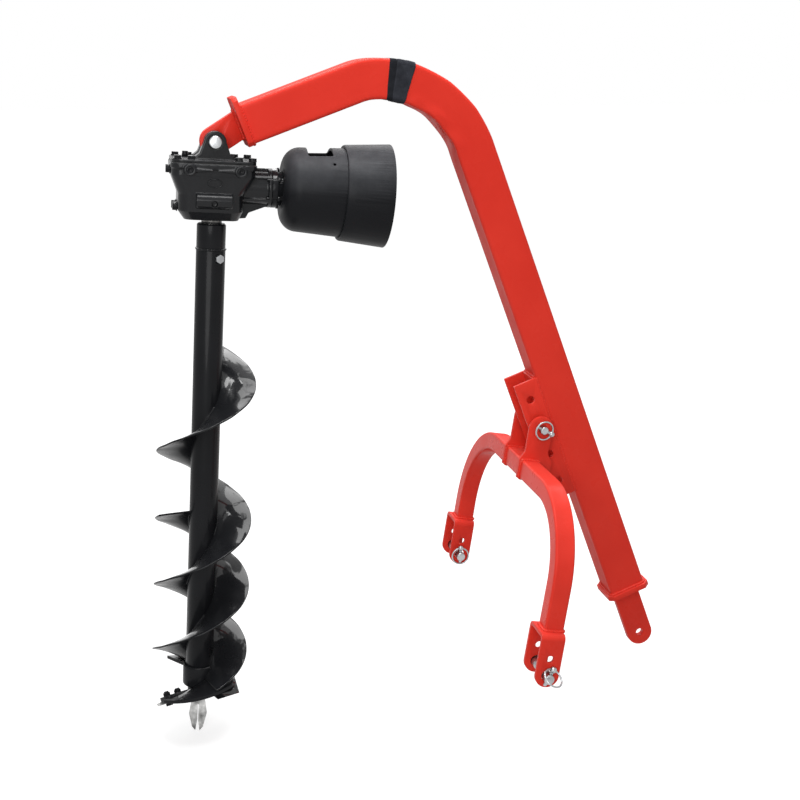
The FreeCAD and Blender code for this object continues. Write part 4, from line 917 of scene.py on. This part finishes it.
def build_yoke():
    for label, side in NEAR_AND_FAR:
        build_leg(label, side)
        for node in ("yoke_ear_", "clevis_"):
            eased(node + label, settings().forms.plate_edge)
        weld_leg(label, side)
    eased("yoke_cross_tube", 0.0)


def build_pins():
    for node in ("yoke_pin", "lower_pin_near", "lower_pin_far", "yoke_linch_pin", "lower_linch_pin_near",
                 "lower_linch_pin_far"):
        eased(node, settings().forms.small_edge)
    for node in ("yoke_linch_ring", "lower_linch_ring_near", "lower_linch_ring_far"):
        eased(node, 0.0, 60.0)


# ---- the gearbox -------------------------------------------------------------------------------
def build_gearbox():
    forms = settings().forms
    cast("gearbox_housing", forms.cast_grid, 5)
    cast("gearbox_cover", forms.cast_grid, 4)
    eased("cover_gasket", 0.0)
    for node in ("input_cap", "back_plugs", "breather", "cover_bolts", "side_plugs"):
        eased(node, forms.small_edge)
    eased("cap_screws", forms.small_edge, slot="black_paint")
    for node in ("tip_pin", "tip_washer"):
        eased(node, forms.small_edge)
    eased("tip_cotter", 0.0)
    build_land()


def build_land():
    """The plain oval raised land on each side of the casting."""
    half_x, half_z, rise, steps = 0.0168, 0.0095, 0.0030, 56
    draft = math.tan(math.radians(WALL_DRAFT))
    rings = ((1.0, -0.3), (1.0, 0.65), (0.98, 0.9), (0.94, 1.0), (0.88, 1.0), (0.84, 0.9), (0.82, 0.35),
             (0.40, 0.33), (0.0, 0.33))
    for label, side in NEAR_AND_FAR:
        vertices = []
        for scale, height in rings:
            for step in range(steps):
                angle = 2 * math.pi * step / steps
                up = half_z * scale * math.sin(angle)
                out = LAND_OUT + rise * height + up * draft
                vertices.append(GEARBOX @ Vector((half_x * scale * math.cos(angle), side * out, LAND_Z + up)))
        faces = ring_faces(len(rings), steps)[:-1]    # the last ring is a point and needs no cap
        finish_piece(piece("gearbox_land." + label, vertices, faces), "gearbox", "black_casting", 50.0)


def build_drive():
    for node in ("pinion_shaft", "output_shaft", "crown_gear", "output_bearings_outer",
                 "output_bearings_inner", "input_bearings_outer", "input_bearings_inner", "shaft_seals"):
        eased(node, 0.0)
    darken_shaft(inner=0.0222, outer=0.0225, low=-0.1778, high=-0.1688)


def darken_shaft(inner, outer, low, high, steps=64):
    """A thin black ring over the output shaft, between the gearbox and the hub, which makes the shaft dark
    there.
    """
    section = ((inner, low), (outer, low), (outer, high), (inner, high))
    vertices = [GEARBOX @ Vector((radius * math.cos(2 * math.pi * step / steps),
                                  radius * math.sin(2 * math.pi * step / steps), level))
                for step in range(steps) for radius, level in section]
    ring = piece("shaft_dark_ring", vertices, ring_faces(steps, len(section), closed=True))
    finish_piece(ring, "auger", "black_paint")


def build_shield():
    for node in ("shield_bell", "shield_clamp", "shield_sleeve"):
        eased(node, settings().forms.plate_edge * 0.5)


# ---- the auger ---------------------------------------------------------------------------------
def on_helix(angle, radius, level, lift=0.0):
    """A point on a flight, level being its height at the tractor side."""
    turn = math.radians(angle)
    height = level + FLIGHT_PITCH * angle / 360.0 + lift
    return GEARBOX @ Vector((radius * math.cos(turn), radius * math.sin(turn), height))


def flight_section(inner):
    """The flight's cross-section, round at the rim: (radius, lift) pairs."""
    half = FLIGHT_T / 2
    flat_to = FLIGHT_R - half * 0.6
    radii = [inner + (flat_to - inner) * step / 9 for step in range(10)]
    section = [(radius, half) for radius in radii]
    for step in range(1, 6):
        angle = math.radians(90 - 30 * step)
        section.append((flat_to + half * 0.6 * math.cos(angle), half * math.sin(angle)))
    return section + [(radius, -half) for radius in reversed(radii)]


def flight(node, top, bottom, level):
    """A helical flight with a rounded rim and the slight ripple left by the press."""
    ripple = settings().forms.ripple
    inner = TUBE_R - 0.0006
    section = flight_section(inner)
    steps, vertices = round((top - bottom) / 4), []
    for row in range(steps + 1):
        angle = bottom + (top - bottom) * row / steps
        for radius, lift in section:
            outward = (radius - inner) / (FLIGHT_R - inner)
            wave = math.sin(math.radians(angle * 5.0)) + 0.7 * math.sin(math.radians(angle * 13.0 + 40))
            wave += 1.2 * noise.noise(Vector((angle * 0.05, radius * 30, 1.0)))
            vertices.append(on_helix(angle, radius, level, lift + ripple * 0.5 * wave * outward ** 1.5))
    faces = ring_faces(steps + 1, len(section))
    finish_piece(piece(node + ".finish", vertices, faces), "auger", "black_paint", 40.0, node)
    stitch_flight(node, top, bottom, level)


def stitch_flight(node, top, bottom, level):
    """Stitch welds above and below a flight, a gap between each and the next."""
    gap, above = 62.0, FLIGHT_T / 2 + 0.0006
    stitch = math.degrees(settings().forms.stitch / TUBE_R) * 0.8
    at, index = top - 6.0, 0
    while at - stitch > bottom:
        for label, lift in (("top", above), ("low", -above)):
            path = [on_helix(at - stitch * step / 14, TUBE_R + 0.0004, level, lift) for step in range(15)]
            bead(f"weld.{node}_{label}_{index}", path, 0.0024, "auger", "black_paint", around=7)
        at -= stitch + gap
        index += 1


def build_auger():
    for node in ("auger_hub", "auger_tube", "shear_bolt", "shear_nut", "bottom_collar"):
        eased(node, settings().forms.small_edge)
    flight("flight_long", *LONG_FLIGHT, FLIGHT_TOP_Z)
    flight("flight_short", *SHORT_FLIGHT, FLIGHT_TOP_Z - 1.5 * FLIGHT_PITCH)
    for name, radius, level, size in (("hub", TUBE_R - 0.0004, HUB_SEAM_Z, 0.0028),
                                      ("collar", TUBE_R + 0.0012, COLLAR_SEAM_Z, 0.0034)):
        bead("weld." + name, circle_loop(GEARBOX, radius, level), size, "auger", "black_paint", True)


def build_cutters():
    """The cutting head; one tooth takes the black paint and is dark, the other is bare tool steel."""
    edge = settings().forms.small_edge
    for node in ("cutter_flights", "cutter_bar", "pilot_bit"):
        eased(node, edge)
    teeth = parted("teeth", GEARBOX, lambda point: "painted" if point.x > 0 else "worn")
    for tooth, first in zip(teeth, (True, False)):
        slot = "black_paint" if tooth.name.endswith("painted") else "tool_steel"
        bevelled(tooth, edge)
        finish_piece(tooth, "auger", slot, 32.0, "teeth" if first else None)
    eased("tooth_bolts", edge, slot="black_paint")


# ---- the stage ---------------------------------------------------------------------------------
def lamp(name, power, size, place, target):
    """A round soft light aimed at a point."""
    light = bpy.data.lights.new(name, "AREA")
    light.shape = "DISK"
    light.energy = power
    light.size = size
    obj = bpy.data.objects.new(name, light)
    bpy.context.scene.collection.objects.link(obj)
    obj.location = place
    obj.rotation_euler = (Vector(target) - Vector(place)).to_track_quat("-Z", "Y").to_euler()


def stand_camera(stage):
    scene = bpy.context.scene
    eye = bpy.data.cameras.new("camera")
    eye.lens = stage.lens
    eye.sensor_width = 36.0
    camera = bpy.data.objects.new("camera", eye)
    scene.collection.objects.link(camera)
    camera.location = stage.eye
    camera.rotation_euler = Vector(stage.look).to_track_quat("-Z", "Y").to_euler()
    scene.camera = camera


def shows_backdrop(graph):
    """One for a ray that shows the white backdrop, straight, in a polished face or through a clear one."""
    path = graph.add("ShaderNodeLightPath").outputs
    straight_or_mirrored = graph.math("MAXIMUM", path["Is Camera Ray"], path["Is Glossy Ray"])
    return graph.math("MAXIMUM", straight_or_mirrored, path["Is Transmission Ray"])


def lay_floor(middle, level, span=40.0):
    """A plain floor that keeps the shadow and fades to white away from the object."""
    corners = [(middle.x + x * span, middle.y + y * span, level) for x, y in CORNERS]
    floor = piece("floor", corners, [(0, 1, 2, 3)])
    paper = bpy.data.materials.new("paper")
    paper.use_nodes = True
    graph = Graph(paper.node_tree)
    shader = paper.node_tree.nodes["Principled BSDF"]
    tone = graph.use(mottle(), Scale=0.6, Low=0.40, High=0.42).outputs["Value"]
    graph.feed(shader.inputs["Base Color"], tone)
    shader.inputs["Roughness"].default_value = 0.9
    shader.inputs["Specular IOR Level"].default_value = 0.0
    shader.inputs["Emission Color"].default_value = (1, 1, 1, 1)
    place = graph.add("ShaderNodeTexCoord").outputs["Object"]
    away = graph.add("ShaderNodeVectorMath", {0: place, 1: (middle.x, middle.y, level)}, operation="DISTANCE")
    fade = graph.add("ShaderNodeMapRange", {"Value": away.outputs["Value"], "From Min": 0.8, "From Max": 4.0,
                                            "To Min": 0.72, "To Max": 0.90}).outputs["Result"]
    graph.feed(shader.inputs["Emission Strength"], graph.math("MULTIPLY", shows_backdrop(graph), fade))
    floor.data.materials.append(paper)
    floor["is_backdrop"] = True


def light_sky(sky):
    """A white surround, dimmer as a light than as a backdrop."""
    world = bpy.data.worlds.new("studio")
    bpy.context.scene.world = world
    world.use_nodes = True
    graph = Graph(world.node_tree)
    ground = world.node_tree.nodes["Background"]
    strength = graph.add("ShaderNodeMapRange", {"Value": shows_backdrop(graph), "To Min": sky, "To Max": 1.0})
    graph.feed(ground.inputs["Strength"], strength.outputs["Result"])
    ground.inputs["Color"].default_value = (1, 1, 1, 1)


def build_stage():
    stage = settings().stage
    low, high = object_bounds()
    middle = (low + high) / 2
    stand_camera(stage)
    lay_floor(middle, low.z)
    lamp("overhead", stage.overhead, 1.9, middle + Vector((-0.3, -0.5, 3.0)), middle)
    lamp("front", stage.front, 2.4, middle + Vector((-1.2, -3.4, 1.2)), middle)
    lamp("back", stage.back, 4.2, middle + Vector((0.2, 2.0, 2.9)), middle)
    light_sky(stage.sky)
    bpy.context.scene.view_settings.view_transform = "Standard"


# ---- the add-on --------------------------------------------------------------------------------
class AugerSettings(bpy.types.PropertyGroup):
    """Everything the panel shows."""
    forms: PointerProperty(type=AugerForms)
    colours: PointerProperty(type=AugerColours)
    stage: PointerProperty(type=AugerStage)


class AUGER_OT_boom(bpy.types.Operator):
    """Bent tube, tape, plates, bracket and their welds"""
    bl_idname = "auger.boom"
    bl_label = "Boom"
    bl_options = {"REGISTER", "UNDO"}

    def execute(self, context):
        build_boom()
        return {"FINISHED"}


class AUGER_OT_yoke(bpy.types.Operator):
    """Legs, ears, clevises and their welds"""
    bl_idname = "auger.yoke"
    bl_label = "Yoke"
    bl_options = {"REGISTER", "UNDO"}

    def execute(self, context):
        build_yoke()
        return {"FINISHED"}


class AUGER_OT_pins(bpy.types.Operator):
    """Hitch pins with their linch pins and rings"""
    bl_idname = "auger.pins"
    bl_label = "Pins"
    bl_options = {"REGISTER", "UNDO"}

    def execute(self, context):
        build_pins()
        return {"FINISHED"}


class AUGER_OT_gearbox(bpy.types.Operator):
    """Castings, plugs, bolts and the hanging pin"""
    bl_idname = "auger.gearbox"
    bl_label = "Gearbox"
    bl_options = {"REGISTER", "UNDO"}

    def execute(self, context):
        build_gearbox()
        return {"FINISHED"}


class AUGER_OT_drive(bpy.types.Operator):
    """Shafts, bevel gears, bearings and seals"""
    bl_idname = "auger.drive"
    bl_label = "Drive train"
    bl_options = {"REGISTER", "UNDO"}

    def execute(self, context):
        build_drive()
        return {"FINISHED"}


class AUGER_OT_shield(bpy.types.Operator):
    """Plastic bell, its clamp and its sliding sleeve"""
    bl_idname = "auger.shield"
    bl_label = "Shield"
    bl_options = {"REGISTER", "UNDO"}

    def execute(self, context):
        build_shield()
        return {"FINISHED"}


class AUGER_OT_auger(bpy.types.Operator):
    """Hub, tube, flights and shear bolt"""
    bl_idname = "auger.auger"
    bl_label = "Auger"
    bl_options = {"REGISTER", "UNDO"}

    def execute(self, context):
        build_auger()
        return {"FINISHED"}


class AUGER_OT_cutters(bpy.types.Operator):
    """Cutting plates, teeth and pilot point"""
    bl_idname = "auger.cutters"
    bl_label = "Cutting head"
    bl_options = {"REGISTER", "UNDO"}

    def execute(self, context):
        build_cutters()
        return {"FINISHED"}


class AUGER_OT_stage(bpy.types.Operator):
    """Camera, floor and soft lights"""
    bl_idname = "auger.stage"
    bl_label = "Stage"
    bl_options = {"REGISTER", "UNDO"}

    def execute(self, context):
        build_stage()
        return {"FINISHED"}


STEPS = (AUGER_OT_boom, AUGER_OT_yoke, AUGER_OT_pins, AUGER_OT_gearbox, AUGER_OT_drive, AUGER_OT_shield,
         AUGER_OT_auger, AUGER_OT_cutters, AUGER_OT_stage)


class AUGER_PT_panel(bpy.types.Panel):
    """Lists the steps and the settings"""
    bl_label = "Earth auger drive"
    bl_space_type = "VIEW_3D"
    bl_region_type = "UI"
    bl_category = "Auger"

    def draw(self, context):
        for step in STEPS:
            self.layout.operator(step.bl_idname)
        drive = context.scene.auger_drive
        for group in (drive.forms, drive.colours, drive.stage):
            box = self.layout.box()
            for name in group.__annotations__:
                box.prop(group, name)


CLASSES = (AugerForms, AugerColours, AugerStage, AugerSettings, *STEPS, AUGER_PT_panel)


def register():
    for cls in CLASSES:
        bpy.utils.register_class(cls)
    bpy.types.Scene.auger_drive = PointerProperty(type=AugerSettings)


def unregister():
    del bpy.types.Scene.auger_drive
    for cls in reversed(CLASSES):
        bpy.utils.unregister_class(cls)


def main():
    register()
    bpy.ops.auger.boom()
    bpy.ops.auger.yoke()
    bpy.ops.auger.pins()
    bpy.ops.auger.gearbox()
    bpy.ops.auger.drive()
    bpy.ops.auger.shield()
    bpy.ops.auger.auger()
    bpy.ops.auger.cutters()
    bpy.ops.auger.stage()


if __name__ == "__main__":
    main()
